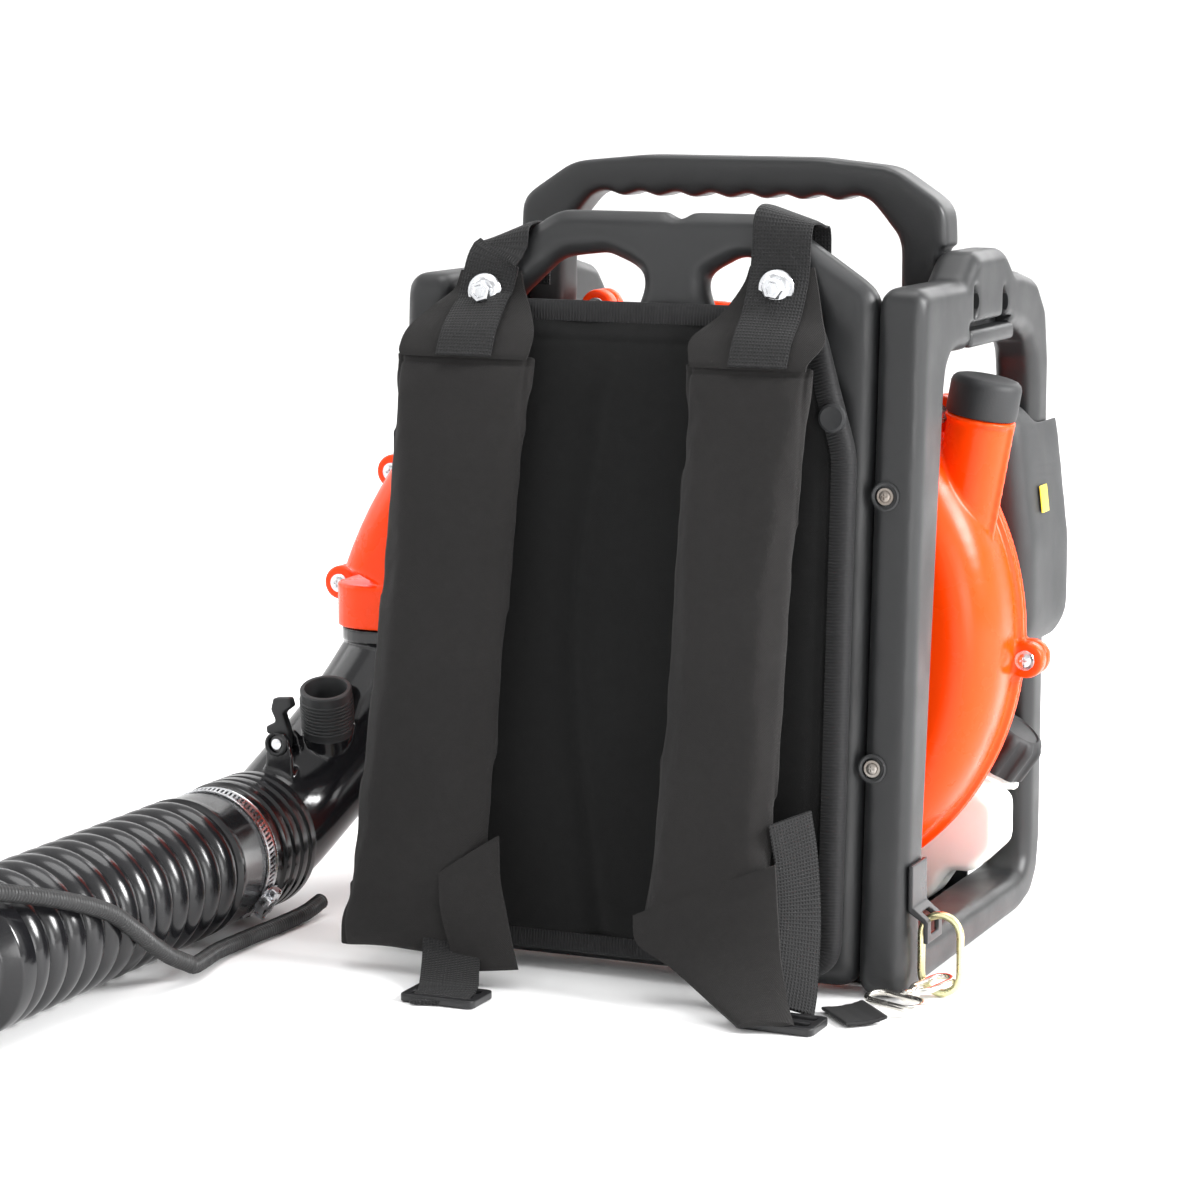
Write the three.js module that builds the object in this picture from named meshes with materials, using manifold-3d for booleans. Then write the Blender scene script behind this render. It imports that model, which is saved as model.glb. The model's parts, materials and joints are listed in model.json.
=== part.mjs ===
// Backpack leaf blower, in millimetres, +Z up. The harness side faces -Y and the engine side +Y.
// The origin is the middle of the base tray's underside, on the floor.
import * as THREE from 'three';
import { mergeVertices } from 'three/addons/utils/BufferGeometryUtils.js';
import Module from 'manifold-3d';

const wasm = await Module();
wasm.setup();

// ---- Driving dimensions ----

const GAP = 0.3;                    // clearance kept between touching pieces
const WELD = 0.004;                 // vertices closer than this are one

const LOOP_OUT = 175.6;             // side frames: outer face from the middle plane
const LOOP_IN = 144.6;              // side frames: inner face from the middle plane
const LOOP_FRONT = 132;
const LOOP_REAR_TOP = -132;
const LOOP_REAR_BOTTOM = -158;
const LOOP_TOP = 435;
const BOSS_TOP = 452;
const LEAN = Math.atan2(LOOP_REAR_TOP - LOOP_REAR_BOTTOM, LOOP_TOP);

const HANDLE_TOP = 509;
const HANDLE_UNDER = 481;
const GRIP_PITCH = 25;              // finger scallops under the carry handle

const SEAM = 20;                    // plane where the two fan case halves meet
const CASE_REAR = -45;
const CASE_FRONT = 46;
const CASE_WALL = 3;
const RIM = 4;                      // lip round the seam
const FAN = { x: 4, z: 201, radius: 187.5, growth: 82 };
const SPIRAL_FROM = 30;             // degrees, where the case starts to widen
const SPIRAL_SPAN = 132;
const OUTLET = { left: -287, right: -203, z: 184 };
const EAR_RADIUS = 12;
const INTAKE_RADIUS = 75;

const SHAFT_RADIUS = 10;
const HOSE_X = -304;                // the air tube runs towards -Y beside the machine
const HOSE_Z = 48;
const HOSE_RADIUS = 47;
const ELBOW_RADIUS = 40;
const TUBE_START = -440;            // far end of the bellows, where the rigid tube starts
const TUBE_TILT = 1.53 * Math.PI / 180;

const WEB_WIDTH = 38;
const WEB_THICK = 2.6;

const X = new THREE.Vector3(1, 0, 0);
const Y = new THREE.Vector3(0, 1, 0);
const Z = new THREE.Vector3(0, 0, 1);
const at = (x, y, z) => new THREE.Vector3(x, y, z);

// ---- Solids ----

// A closed body from any geometry: welded, without slivers, with its faces pointing out.
function closed(geometry) {
  const bare = geometry.clone();
  for (const name of Object.keys(bare.attributes)) {
    if (name !== 'position') bare.deleteAttribute(name);
  }
  const welded = mergeVertices(bare, WELD);
  const index = welded.index.array;
  const p = welded.attributes.position;
  const corner = [at(0, 0, 0), at(0, 0, 0), at(0, 0, 0)];
  const kept = [];
  let volume = 0;
  for (let i = 0; i < index.length; i += 3) {
    const [a, b, c] = [index[i], index[i + 1], index[i + 2]];
    if (a === b || b === c || c === a) continue;
    kept.push(a, b, c);
    [a, b, c].forEach((v, n) => corner[n].fromBufferAttribute(p, v));
    volume += corner[0].dot(corner[1].clone().cross(corner[2]));
  }
  if (volume < 0) kept.reverse();
  const body = new THREE.BufferGeometry();
  body.setAttribute('position', p);
  body.setIndex(kept);
  return body;
}

function solid(shape) {
  if (!shape.isBufferGeometry) return shape;
  const body = closed(shape);
  return new wasm.Manifold(new wasm.Mesh({
    numProp: 3,
    vertProperties: new Float32Array(body.attributes.position.array),
    triVerts: new Uint32Array(body.index.array),
  }));
}

const join = (first, ...rest) => rest.reduce((whole, part) => whole.add(solid(part)), solid(first));
const cut = (first, ...rest) => rest.reduce((whole, part) => whole.subtract(solid(part)), solid(first));
const common = (first, second) => solid(first).intersect(solid(second));

function asGeometry(shape) {
  if (shape.isBufferGeometry) return closed(shape);
  const mesh = shape.getMesh();
  const geometry = new THREE.BufferGeometry();
  geometry.setAttribute('position', new THREE.BufferAttribute(new Float32Array(mesh.vertProperties), 3));
  geometry.setIndex([...mesh.triVerts]);
  return geometry;
}

function box(x0, x1, y0, y1, z0, z1) {
  const geometry = new THREE.BoxGeometry(x1 - x0, y1 - y0, z1 - z0);
  return geometry.translate((x0 + x1) / 2, (y0 + y1) / 2, (z0 + z1) / 2);
}

// Turns a shape made along +Y so that it starts at a point and runs along a direction.
function aim(geometry, start, direction) {
  const turn = new THREE.Quaternion().setFromUnitVectors(Y, direction.clone().normalize());
  return geometry.applyQuaternion(turn).translate(start.x, start.y, start.z);
}

function rod(radius, from, to, sides = 16, endRadius = radius) {
  const along = to.clone().sub(from);
  const geometry = new THREE.CylinderGeometry(endRadius, radius, along.length(), sides);
  return aim(geometry.translate(0, along.length() / 2, 0), from, along);
}

// A turned piece. The profile is a closed loop of [radius, distance along the axis].
function turned(profile, start, direction, sides = 20) {
  const points = profile.map(([radius, along]) => new THREE.Vector2(radius, along));
  points.push(points[0].clone());
  return aim(new THREE.LatheGeometry(points, sides), start, direction);
}

const sleeve = (inner, outer, start, direction, length, sides = 20) =>
  turned([[inner, 0], [outer, 0], [outer, length], [inner, length]], start, direction, sides);

// Follows corners given as [u, v, radius of the rounding].
function trace(path, corners) {
  const count = corners.length;
  corners.forEach(([u, v, radius = 0], i) => {
    const here = new THREE.Vector2(u, v);
    const back = new THREE.Vector2(...corners[(i + count - 1) % count].slice(0, 2)).sub(here);
    const on = new THREE.Vector2(...corners[(i + 1) % count].slice(0, 2)).sub(here);
    const reach = radius / Math.tan(back.angleTo(on) / 2);
    const start = here.clone().add(back.setLength(reach));
    const end = here.clone().add(on.setLength(reach));
    if (i === 0) path.moveTo(start.x, start.y);
    else path.lineTo(start.x, start.y);
    if (radius > 0) path.quadraticCurveTo(u, v, end.x, end.y);
  });
  path.closePath();
  return path;
}

function outline(corners, ...holes) {
  const shape = trace(new THREE.Shape(), corners);
  shape.holes = holes.map((hole) => trace(new THREE.Path(), hole));
  return shape;
}

const ACROSS = {
  x: new THREE.Matrix4().makeBasis(Y, Z, X),
  y: new THREE.Matrix4().makeBasis(X, Z, Y.clone().negate()),
  z: new THREE.Matrix4(),
};

// A flat shape given thickness along an axis, with rounded edges if edge is set. Its own
// coordinates are (y, z) along x, (x, z) along y and (x, y) along z.
function plate(shape, axis, low, high, edge = 0, smooth = 4) {
  const geometry = new THREE.ExtrudeGeometry(shape, {
    depth: high - low - 2 * edge,
    curveSegments: smooth,
    bevelEnabled: edge > 0,
    bevelSize: edge,
    bevelThickness: edge,
    bevelOffset: -edge,
    bevelSegments: 1,
  });
  geometry.translate(0, 0, edge).applyMatrix4(ACROSS[axis]);
  if (axis === 'x') return geometry.translate(low, 0, 0);
  if (axis === 'y') return geometry.translate(0, high, 0);
  return geometry.translate(0, 0, low);
}

function circle(radius, sides) {
  const shape = new THREE.Shape();
  for (let i = 0; i < sides; i += 1) {
    const angle = 2 * Math.PI * i / sides;
    const place = [radius * Math.cos(angle), radius * Math.sin(angle)];
    if (i === 0) shape.moveTo(...place);
    else shape.lineTo(...place);
  }
  shape.closePath();
  return shape;
}

function tube(points, radius, steps, sides = 24) {
  const path = new THREE.CatmullRomCurve3(points, false, 'centripetal');
  return new THREE.ExtrudeGeometry(circle(radius, sides), {
    steps, bevelEnabled: false, extrudePath: path,
  });
}

// Joins rings of points, all with the same count, into one body with flat ends.
function loft(rings) {
  const count = rings[0].length;
  const points = rings.flat();
  const index = [];
  for (let r = 0; r + 1 < rings.length; r += 1) {
    for (let i = 0; i < count; i += 1) {
      const [a, b] = [r * count + i, r * count + (i + 1) % count];
      index.push(a, b, b + count, a, b + count, a + count);
    }
  }
  const last = (rings.length - 1) * count;
  for (let i = 1; i + 1 < count; i += 1) {
    index.push(0, i + 1, i, last, last + i, last + i + 1);
  }
  const geometry = new THREE.BufferGeometry().setFromPoints(points);
  geometry.setIndex(index);
  return geometry;
}

// A strap or pad. Each station is [centre, half width vector, half thickness vector].
function band(stations, roundness = 0) {
  const corners = roundness > 0
    ? [[-1, 0], [-0.9, -0.75], [-0.6, -1], [0.6, -1], [0.9, -0.75], [1, 0],
       [0.9, 0.75], [0.6, 1], [-0.6, 1], [-0.9, 0.75]]
    : [[-1, -1], [1, -1], [1, 1], [-1, 1]];
  return loft(stations.map(([centre, wide, thick]) => corners.map(([u, v]) =>
    centre.clone().addScaledVector(wide, u).addScaledVector(thick, v))));
}

// A wire link: a ring pulled out to an oval along its own Y, lying in its XY plane.
function link(halfWidth, halfLength, wire, sides = 16) {
  const section = circle(wire, 6).getPoints().map((p) => [halfWidth - wire + p.x, p.y]);
  const ring = turned(section.slice(0, -1), at(0, 0, 0), Y, sides);
  ring.applyMatrix4(new THREE.Matrix4().makeRotationX(Math.PI / 2));
  ring.rotateZ(Math.PI / sides);
  const place = ring.attributes.position;
  for (let i = 0; i < place.count; i += 1) {
    place.setY(i, place.getY(i) + Math.sign(place.getY(i)) * (halfLength - halfWidth));
  }
  return ring;
}

// Bodies on the harness side lean with the rear face of the frame: local y is the depth
// behind that face, and z is measured up the face from the floor.
function leaning(shape) {
  const geometry = asGeometry(shape).translate(0, 0, -LOOP_TOP);
  return geometry.rotateX(-LEAN).translate(0, LOOP_REAR_TOP, LOOP_TOP);
}
const leanPoint = (x, y, z) => at(x, y, z - LOOP_TOP).applyAxisAngle(X, -LEAN)
  .add(at(0, LOOP_REAR_TOP, LOOP_TOP));

// ---- Finishes ----

const FINISHES = {
  frame: [0x3a3c3e, 0.5, 0], orange: [0xff5a1f, 0.25, 0], gloss: [0x101012, 0.18, 0],
  matte: [0x3c3e40, 0.7, 0], rubber: [0x18181a, 0.75, 0], tank: [0xe9e8dc, 0.35, 0],
  alloy: [0xa9abad, 0.4, 0.8], steel: [0x9a9c9e, 0.35, 1], zinc: [0xb9a76a, 0.35, 1],
  fabric: [0x2b2a29, 0.9, 0], webbing: [0x141414, 0.85, 0], foam: [0xb8b29a, 0.9, 0],
};

const blower = new THREE.Group();
blower.name = 'leaf_blower';

function add(name, finish, shape) {
  const [color, roughness, metalness] = FINISHES[finish];
  const material = new THREE.MeshStandardMaterial({ color, roughness, metalness });
  const mesh = new THREE.Mesh(asGeometry(shape), material);
  mesh.name = name;
  blower.add(mesh);
}

// ---- Frame ----

// One closed loop seen from the side, with a domed boss on top that takes the carry handle.
function sideFrame(side) {
  const outer = [
    [LOOP_REAR_BOTTOM, 0, 12], [LOOP_FRONT, 0, 45], [LOOP_FRONT, LOOP_TOP, 62],
    [56, LOOP_TOP, 12], [34, BOSS_TOP, 16], [-24, BOSS_TOP, 16], [-46, LOOP_TOP, 12],
    [LOOP_REAR_TOP, LOOP_TOP, 14],
  ];
  const opening = [
    [-84, 392, 24], [-42, 391, 12], [52, 399, 14], [100, 388, 34], [100, 26, 22], [-122, 28, 14],
  ];
  const rail = [[127.8, 0], [LOOP_IN + 2, 0], [LOOP_IN + 2, 26], [LOOP_IN - 3, 26], [127.8, 13]];
  const slot = (y, z) => outline([[y - 3.5, z - 11, 3.4], [y + 3.5, z - 11, 3.4], [y + 3.5, z + 11, 3.4],
    [y - 3.5, z + 11, 3.4]]);
  const slots = [[-30, 421], [30, 417]].map(([y, z]) =>
    plate(slot(y, z), 'x', LOOP_OUT - 14, LOOP_OUT + 5, 0, 2));
  const shape = join(
    plate(outline(outer, opening), 'x', LOOP_IN, LOOP_OUT, 6, 3),
    plate(outline(rail), 'y', -126, 110),
  );
  const body = cut(shape, ...slots, box(LOOP_OUT - 8, LOOP_OUT + 5, -42, 46, 403, 408));
  return side > 0 ? body : body.mirror([1, 0, 0]);
}

// Moulded back frame: humped top bar, central stem between two windows, legs and a panel.
function backFrame() {
  const half = LOOP_IN - GAP;
  const outer = [
    [-half, 3, 14], [half, 3, 14], [half, 432, 24], [74, 478, 26], [-72, 478, 26], [-half, 432, 24],
  ];
  const leftWindow = [[-118, 404, 12], [-22, 404, 12], [-8, 440, 14], [-38, 452, 14], [-70, 448, 20]];
  const rightWindow = [[40, 404, 12], [116, 404, 12], [74, 448, 20], [52, 452, 14], [26, 438, 12]];
  const lower = [[-118, 28, 14], [118, 28, 14], [118, 374, 14], [-118, 374, 14]];
  const notch = rod(9, at(10, -10, 482), at(10, 40, 482), 16);
  return leaning(cut(join(
    plate(outline(outer, leftWindow, rightWindow, lower), 'y', 0, 27, 8, 3),
    box(-126, 126, 13, 19, 20, 382),
  ), notch));
}

// Arched carry handle with finger scallops; its feet run down inside the two bosses.
function carryHandle() {
  const foot = LOOP_IN - GAP;
  const inner = foot - 26;
  const corners = [
    [foot, 404, 8], [foot, BOSS_TOP + 2], [150, BOSS_TOP + 2], [149, 480, 20], [112, 504, 30],
    [60, HANDLE_TOP, 40], [-60, HANDLE_TOP, 40], [-112, 504, 30], [-149, 480, 20],
    [-150, BOSS_TOP + 2], [-foot, BOSS_TOP + 2], [-foot, 404, 8], [-inner, 404, 8],
    [-inner, 458, 16], [-98, HANDLE_UNDER + 1, 6],
  ];
  for (let i = -14; i <= 14; i += 1) {
    const x = i * GRIP_PITCH / 4;
    corners.push([x, HANDLE_UNDER + 2.2 - 2.6 * Math.cos(2 * Math.PI * x / GRIP_PITCH), 0]);
  }
  corners.push([98, HANDLE_UNDER + 1, 6], [inner, 458, 16], [inner, 404, 8]);
  return plate(outline(corners), 'y', -17, 13, 0, 4);
}

function baseTray() {
  const reach = 127.8 - GAP;
  const floor = box(-reach, reach, -127, 118, 0, 4);
  const ribs = [-100, -40, 20, 80].map((y) => box(-reach, reach, y, y + 4, 3, 6.5));
  const front = box(-reach, reach, 114, 118, 0, 30);
  return cut(join(floor, ...ribs, front), box(-60, -20, -90, -50, -5, 10), box(20, 60, -90, -50, -5, 10));
}

add('side_frame_right', 'frame', sideFrame(1));
add('side_frame_left', 'frame', sideFrame(-1));
add('back_frame', 'frame', backFrame());
add('carry_handle', 'frame', carryHandle());
add('base_tray', 'frame', baseTray());

// ---- Fan case ----

function caseRadius(degrees) {
  const turn = Math.max(0, degrees - SPIRAL_FROM) / SPIRAL_SPAN;
  return FAN.radius + FAN.growth * turn * turn;
}

// Body inside the case's spiral, from levels of [y, distance in from the outer wall].
function caseBody(levels) {
  return loft(levels.map(([y, inset]) => {
    const ring = [];
    for (let degrees = -173; degrees <= 175; degrees += 12) {
      const radius = caseRadius(degrees) - inset;
      const angle = degrees * Math.PI / 180;
      ring.push(at(FAN.x + radius * Math.cos(angle), y, FAN.z + radius * Math.sin(angle)));
    }
    return ring;
  }));
}

// Levels of a face rounded off by a quarter of an ellipse, then straight to the other end.
function rounded(face, deep, inset, end, thin = 0) {
  const levels = [];
  const steps = Math.abs(deep) > 20 ? 4 : 2;
  for (let i = 0; i <= steps; i += 1) {
    const turn = i * Math.PI / 2 / steps;
    levels.push([face + deep * (1 - Math.cos(turn)), thin + inset * (1 - Math.sin(turn))]);
  }
  levels.push([end, thin]);
  return levels;
}

function duct(inset, low, high) {
  const [left, right] = [OUTLET.left + inset, OUTLET.right - inset];
  const [rear, front] = [CASE_REAR + inset, CASE_FRONT - inset];
  const section = outline([[left, rear, 34], [right, rear, 34], [right, front, 24], [left, front, 24]]);
  return plate(section, 'z', low, high);
}

// Screw ears: [direction from the fan in degrees, distance of the screw outside the case wall].
const EARS = [[-4, 8], [47, 8], [71, 8], [118, 8], [162, 8], [179, 14]].map(([degrees, out]) => {
  const radius = caseRadius(degrees) + out;
  const angle = degrees * Math.PI / 180;
  return { x: FAN.x + radius * Math.cos(angle), z: FAN.z + radius * Math.sin(angle) };
});

const SPOUT = { foot: at(152, -2, 244), top: at(173.6, -2, 366), radius: 21, neck: 18.4, bore: 15 };
const SPOUT_UP = SPOUT.top.clone().sub(SPOUT.foot).normalize();
const spoutAt = (fromTop) => SPOUT.top.clone().addScaledVector(SPOUT_UP, -fromTop);

function spoutOuter() {
  return join(
    rod(SPOUT.radius - 1, SPOUT.foot, spoutAt(22), 20, SPOUT.radius),
    rod(SPOUT.radius + 2, spoutAt(27), spoutAt(24), 20),
    rod(SPOUT.neck, spoutAt(24), SPOUT.top, 20),
  );
}

// Keeps the part of a body between two planes across Y.
const between = (shape, low, high) => common(shape, box(-500, 500, low, high, -200, 700));
const MOUTH = duct(CASE_WALL, OUTLET.z - 20, 212);
const ductRim = (low, high) => box(OUTLET.left - 13, OUTLET.left + 2, low, high, OUTLET.z, 214);

function fanCaseRear() {
  const skin = join(caseBody(rounded(CASE_REAR, 36, 30, 100)), duct(0, OUTLET.z, 214));
  const rim = join(caseBody([[SEAM - 6, -RIM], [SEAM, -RIM]]), ductRim(SEAM - 6, SEAM));
  const ears = EARS.map((ear) => rod(EAR_RADIUS, at(ear.x, SEAM - 12, ear.z), at(ear.x, SEAM, ear.z), 12));
  const hollow = caseBody(rounded(CASE_REAR + CASE_WALL, 34, 28, 100, CASE_WALL));
  const intake = rod(INTAKE_RADIUS, at(FAN.x, -80, FAN.z), at(FAN.x, 0, FAN.z), 28);
  const half = between(skin, CASE_REAR - 5, SEAM);
  const shell = cut(join(half, rim, ...ears, spoutOuter()), hollow, intake, MOUTH);
  const bore = rod(SPOUT.bore, SPOUT.foot.clone().addScaledVector(SPOUT_UP, -6), spoutAt(-10), 14);
  return between(cut(shell, bore), CASE_REAR - 5, SEAM);
}

function fanCaseFront() {
  const skin = join(caseBody(rounded(CASE_FRONT, -14, 14, -60)), duct(0, OUTLET.z, 214));
  const start = SEAM + GAP;
  const rim = join(caseBody([[start, -RIM], [start + 5, -RIM]]), ductRim(start, start + 5));
  const ears = EARS.map((ear) => rod(EAR_RADIUS, at(ear.x, start, ear.z), at(ear.x, start + 9, ear.z), 12));
  const hollow = caseBody(rounded(CASE_FRONT - CASE_WALL, -12, 12, -60, CASE_WALL));
  const shaftHole = rod(SHAFT_RADIUS + 4, at(FAN.x, 0, FAN.z), at(FAN.x, 90, FAN.z), 20);
  return cut(join(between(skin, start, CASE_FRONT + 5), rim, ...ears), hollow, shaftHole, MOUTH);
}

function intakeGuard() {
  const ring = sleeve(INTAKE_RADIUS - 5, INTAKE_RADIUS + 10, at(FAN.x, CASE_REAR - GAP, FAN.z),
    Y.clone().negate(), 4, 28);
  const y0 = CASE_REAR - GAP - 4;
  const bars = [-45, -15, 15, 45].map((z) =>
    box(FAN.x - 73, FAN.x + 73, y0, y0 + 4, FAN.z + z - 2, FAN.z + z + 2));
  const posts = [-40, 0, 40].map((x) =>
    box(FAN.x + x - 2, FAN.x + x + 2, y0, y0 + 4, FAN.z - 73, FAN.z + 73));
  return join(ring, ...bars, ...posts);
}

function spoutCap() {
  const length = 25;
  return turned([[0, 0], [20, 0], [23, 3], [23, length], [SPOUT.neck + 0.6, length],
    [SPOUT.neck + 0.6, 4.6], [0, 4.6]], spoutAt(-5), SPOUT_UP.clone().negate(), 20);
}

add('fan_case_rear', 'orange', fanCaseRear());
add('fan_case_front', 'orange', fanCaseFront());
add('intake_guard', 'matte', intakeGuard());
add('spout_cap', 'rubber', spoutCap());
for (const [name, x] of [['damper_left', -95], ['damper_right', 103]]) {
  add(name, 'rubber', rod(14, at(x, CASE_REAR - GAP, 96), at(x, -129, 96), 20));
}

// ---- Engine ----

function impeller() {
  const hub = sleeve(SHAFT_RADIUS + GAP, 20, at(FAN.x, -30, FAN.z), Y, 42, 16);
  const disc = sleeve(SHAFT_RADIUS + GAP, 152, at(FAN.x, 9, FAN.z), Y, 3, 28);
  const blades = [];
  for (let i = 0; i < 10; i += 1) {
    const blade = box(78, 150, -36, 10, -1.2, 1.2);
    blade.translate(-78, 0, 0).rotateY(0.5).translate(78, 0, 0).rotateY(i * Math.PI / 5);
    blades.push(blade.translate(FAN.x, 0, FAN.z));
  }
  const whole = join(hub, disc, ...blades);
  return common(whole, rod(156, at(FAN.x, -40, FAN.z), at(FAN.x, 20, FAN.z), 28));
}

// Shaft with two counterweights and the crank pin between them, at the top of its stroke.
function crankshaft() {
  const y = (from, to, radius, lift = 0) =>
    rod(radius, at(FAN.x, from, FAN.z + lift), at(FAN.x, to, FAN.z + lift), 14);
  return join(y(-34, 72, SHAFT_RADIUS), y(70, 78, 31), y(77, 91, 6, 17), y(90, 98, 31),
    y(96, 128, SHAFT_RADIUS));
}

function flywheel() {
  const disc = sleeve(SHAFT_RADIUS + GAP, 46, at(FAN.x, 116.5, FAN.z), Y, 7, 20);
  const vanes = [];
  for (let i = 0; i < 8; i += 1) {
    const vane = box(28, 44, 110, 118, -1.2, 1.2).rotateY(i * Math.PI / 4);
    vanes.push(vane.translate(FAN.x, 0, FAN.z));
  }
  return join(disc, ...vanes);
}

function crankcase() {
  const body = join(
    rod(50, at(FAN.x, 52, FAN.z), at(FAN.x, 107, FAN.z), 20),
    box(FAN.x - 40, FAN.x + 40, 60, 106, FAN.z, 251.2),
    ...[[-60, 150], [68, 150], [-60, 238], [68, 238]].map(([x, z]) =>
      join(rod(9, at(x, CASE_FRONT + GAP, z), at(x, 62, z), 8),
        tube([at(x, 57, z), at((x + FAN.x) / 2, 57, (z + FAN.z) / 2), at(FAN.x, 57, FAN.z)], 5, 2, 6))),
  );
  return cut(body,
    rod(35, at(FAN.x, 66, FAN.z), at(FAN.x, 101, FAN.z), 20),
    rod(SHAFT_RADIUS + 0.8, at(FAN.x, 40, FAN.z), at(FAN.x, 120, FAN.z), 14),
    rod(25, at(FAN.x, 84, FAN.z), at(FAN.x, 84, 260), 20));
}

function cylinder() {
  const fins = [];
  for (let i = 0; i < 6; i += 1) {
    const z = 264 + i * 11;
    const fin = outline([[-44, 56, 10], [52, 56, 10], [52, 112, 10], [-44, 112, 10]]);
    fins.push(plate(fin, 'z', z, z + 2.6, 0, 1));
  }
  const barrel = join(rod(31, at(FAN.x, 84, 251.5), at(FAN.x, 84, 336), 20), ...fins,
    box(40, 58, 72, 96, 268, 296), box(-50, -34, 72, 96, 266, 290));
  return cut(barrel, rod(24, at(FAN.x, 84, 240), at(FAN.x, 84, 322), 20),
    rod(9, at(30, 84, 282), at(70, 84, 282), 10), rod(9, at(-60, 84, 278), at(-15, 84, 278), 10),
    rod(4.6, at(FAN.x, 84, 300), at(FAN.x, 84, 350), 12));
}

const piston = () => turned([[0, 34], [23.6, 34], [23.6, 0], [19.5, 0], [19.5, 28], [0, 28]],
  at(FAN.x, 84, 284), Z, 16);

function sparkPlug() {
  return join(rod(4.2, at(FAN.x, 84, 326), at(FAN.x, 84, 338), 12),
    rod(9, at(FAN.x, 84, 336.4), at(FAN.x, 84, 345), 6), rod(7, at(FAN.x, 84, 344), at(FAN.x, 84, 366), 14),
    tube([at(FAN.x, 84, 360), at(-10, 92, 372), at(-36, 104, 366), at(-52, 110, 340)], 3.2, 10, 8));
}

// Moulded cover that leads the cooling air over the cylinder, with slots on its engine side.
function shroud() {
  const corners = [[-58, 252, 8], [62, 252, 8], [62, 352, 20], [44, 384, 20], [-36, 384, 20], [-58, 352, 20]];
  const inside = [[-55, 240, 6], [59, 240, 6], [59, 351, 18], [42, 381, 18], [-34, 381, 18], [-55, 351, 18]];
  const slots = [-30, -14, 2, 18, 34].map((x) => box(x, x + 7, 118, 140, 300, 350));
  const shell = cut(plate(outline(corners), 'y', CASE_FRONT + 4, 124.8, 5, 4),
    plate(outline(inside), 'y', 30, 121, 0, 4));
  return cut(shell, ...slots, box(50, 70, 66, 104, 240, 310), box(-66, -46, 66, 104, 240, 306));
}

function muffler() {
  const can = plate(outline([[-142, 196, 18], [-72, 196, 18], [-72, 300, 18], [-142, 300, 18]]),
    'y', 56, 122, 10, 4);
  const flange = box(-74, -50.6, 70, 98, 264, 292);
  const outlet = rod(9, at(-112, 118, 216), at(-112, 132, 216), 16);
  return cut(join(can, flange, outlet), rod(7, at(-112, 100, 216), at(-112, 140, 216), 14));
}

function carburetor() {
  const body = join(box(58.6, 74, 70, 98, 266, 298), box(72, 94, 64, 104, 262, 302),
    rod(15, at(92, 84, 282), at(99, 84, 282), 20));
  const primerPocket = rod(10.5, at(83, 99, 282), at(83, 110, 282), 16);
  return cut(body, rod(9, at(50, 84, 282), at(110, 84, 282), 12), primerPocket);
}

function primerBulb() {
  return turned([[0, 0], [9, 0], [9, 4], [7, 9], [3.5, 12], [0, 12.6]], at(83, 102.8, 282), Y, 20);
}

function chokeLever() {
  const arm = plate(outline([[-5, -30, 4], [5, -30, 4], [4, 4, 3.5], [-4, 4, 3.5]]), 'x', 106, 110, 0, 3);
  arm.translate(0, 112, 150);
  return join(arm, rod(5, at(104, 112, 150), at(118, 112, 150), 14), box(106, 126, 107.5, 116.5, 118, 124));
}

// The plate behind the air filter, with the choke lever's bearing at its lower front corner.
function filterBase() {
  const face = outline([[56, 140, 8], [124, 140, 8], [124, 344, 14], [56, 344, 14]]);
  return cut(plate(face, 'x', 99.6, 103.6, 0, 4), rod(12, at(90, 84, 282), at(110, 84, 282), 18));
}

function filterElement() {
  return plate(outline([[59, 172, 8], [88, 172, 8], [88, 322, 8], [59, 322, 8]]), 'x', 104, 136, 0, 3);
}

// Cover that fills the right loop's window and wraps over the outside of its front post.
function filterCover() {
  const corners = [[104.2, 142, 12], [152, 142, 16], [188, 198, 18], [188, 252, 30], [177.8, 338, 16],
    [160, 350, 16], [104.2, 350, 12]];
  const inside = [[90, 146, 9], [150, 146, 14], [184, 199, 16], [184, 251, 30], [174.6, 336, 14],
    [159, 346.5, 14], [90, 346.5, 9]];
  const body = cut(plate(outline(corners), 'y', 52, 152, 8, 5), plate(outline(inside), 'y', 55, 91, 5, 4));
  return cut(body, box(60, LOOP_OUT + 1, 94.6, 200, 100, 400), box(60, 130, 91, 200, 100, 400));
}

function recoilHousing() {
  const bowl = turned([[62, 0], [66, 0], [66, 22], [54, 32], [0, 32], [0, 28], [52, 28], [62, 19]],
    at(FAN.x, 125.4, FAN.z), Y, 24);
  const legs = [-140, -40, 42, 138].map((degrees) => {
    const angle = degrees * Math.PI / 180;
    const [x, z] = [FAN.x + 60 * Math.cos(angle), FAN.z + 60 * Math.sin(angle)];
    return rod(6, at(x, 107.4, z), at(x, 150, z), 8);
  });
  const eyelet = rod(9, at(50, 140, 175), at(50, 160, 175), 16);
  const vents = [0, 72, 144, 216].map((degrees) =>
    box(24, 46, 150, 165, -4, 4).rotateY(degrees * Math.PI / 180 + 0.4).translate(FAN.x, 0, FAN.z));
  const whole = cut(join(bowl, ...legs, eyelet), ...vents, rod(4, at(50, 120, 175), at(50, 180, 175), 14));
  return cut(whole, rod(52, at(FAN.x, 104, FAN.z), at(FAN.x, 148, FAN.z), 24));
}

function starterPulley() {
  return turned([[5, 0], [36, 0], [36, 2], [32, 3.5], [32, 8.5], [36, 10], [36, 12], [5, 12]],
    at(FAN.x, 131, FAN.z), Y, 20);
}

// T-shaped pull handle; its stem sits in the eyelet, where the rope comes out.
function starterGrip() {
  const bar = plate(outline([[-24, -9, 8], [24, -9, 8], [20, 9, 8], [-20, 9, 8]]), 'y', 166, 184, 4, 4);
  bar.translate(50, 0, 175);
  return join(bar, rod(6.5, at(50, 160.4, 175), at(50, 168, 175), 16),
    rod(3.2, at(50, 146, 175), at(50, 164, 175), 12));
}

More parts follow.
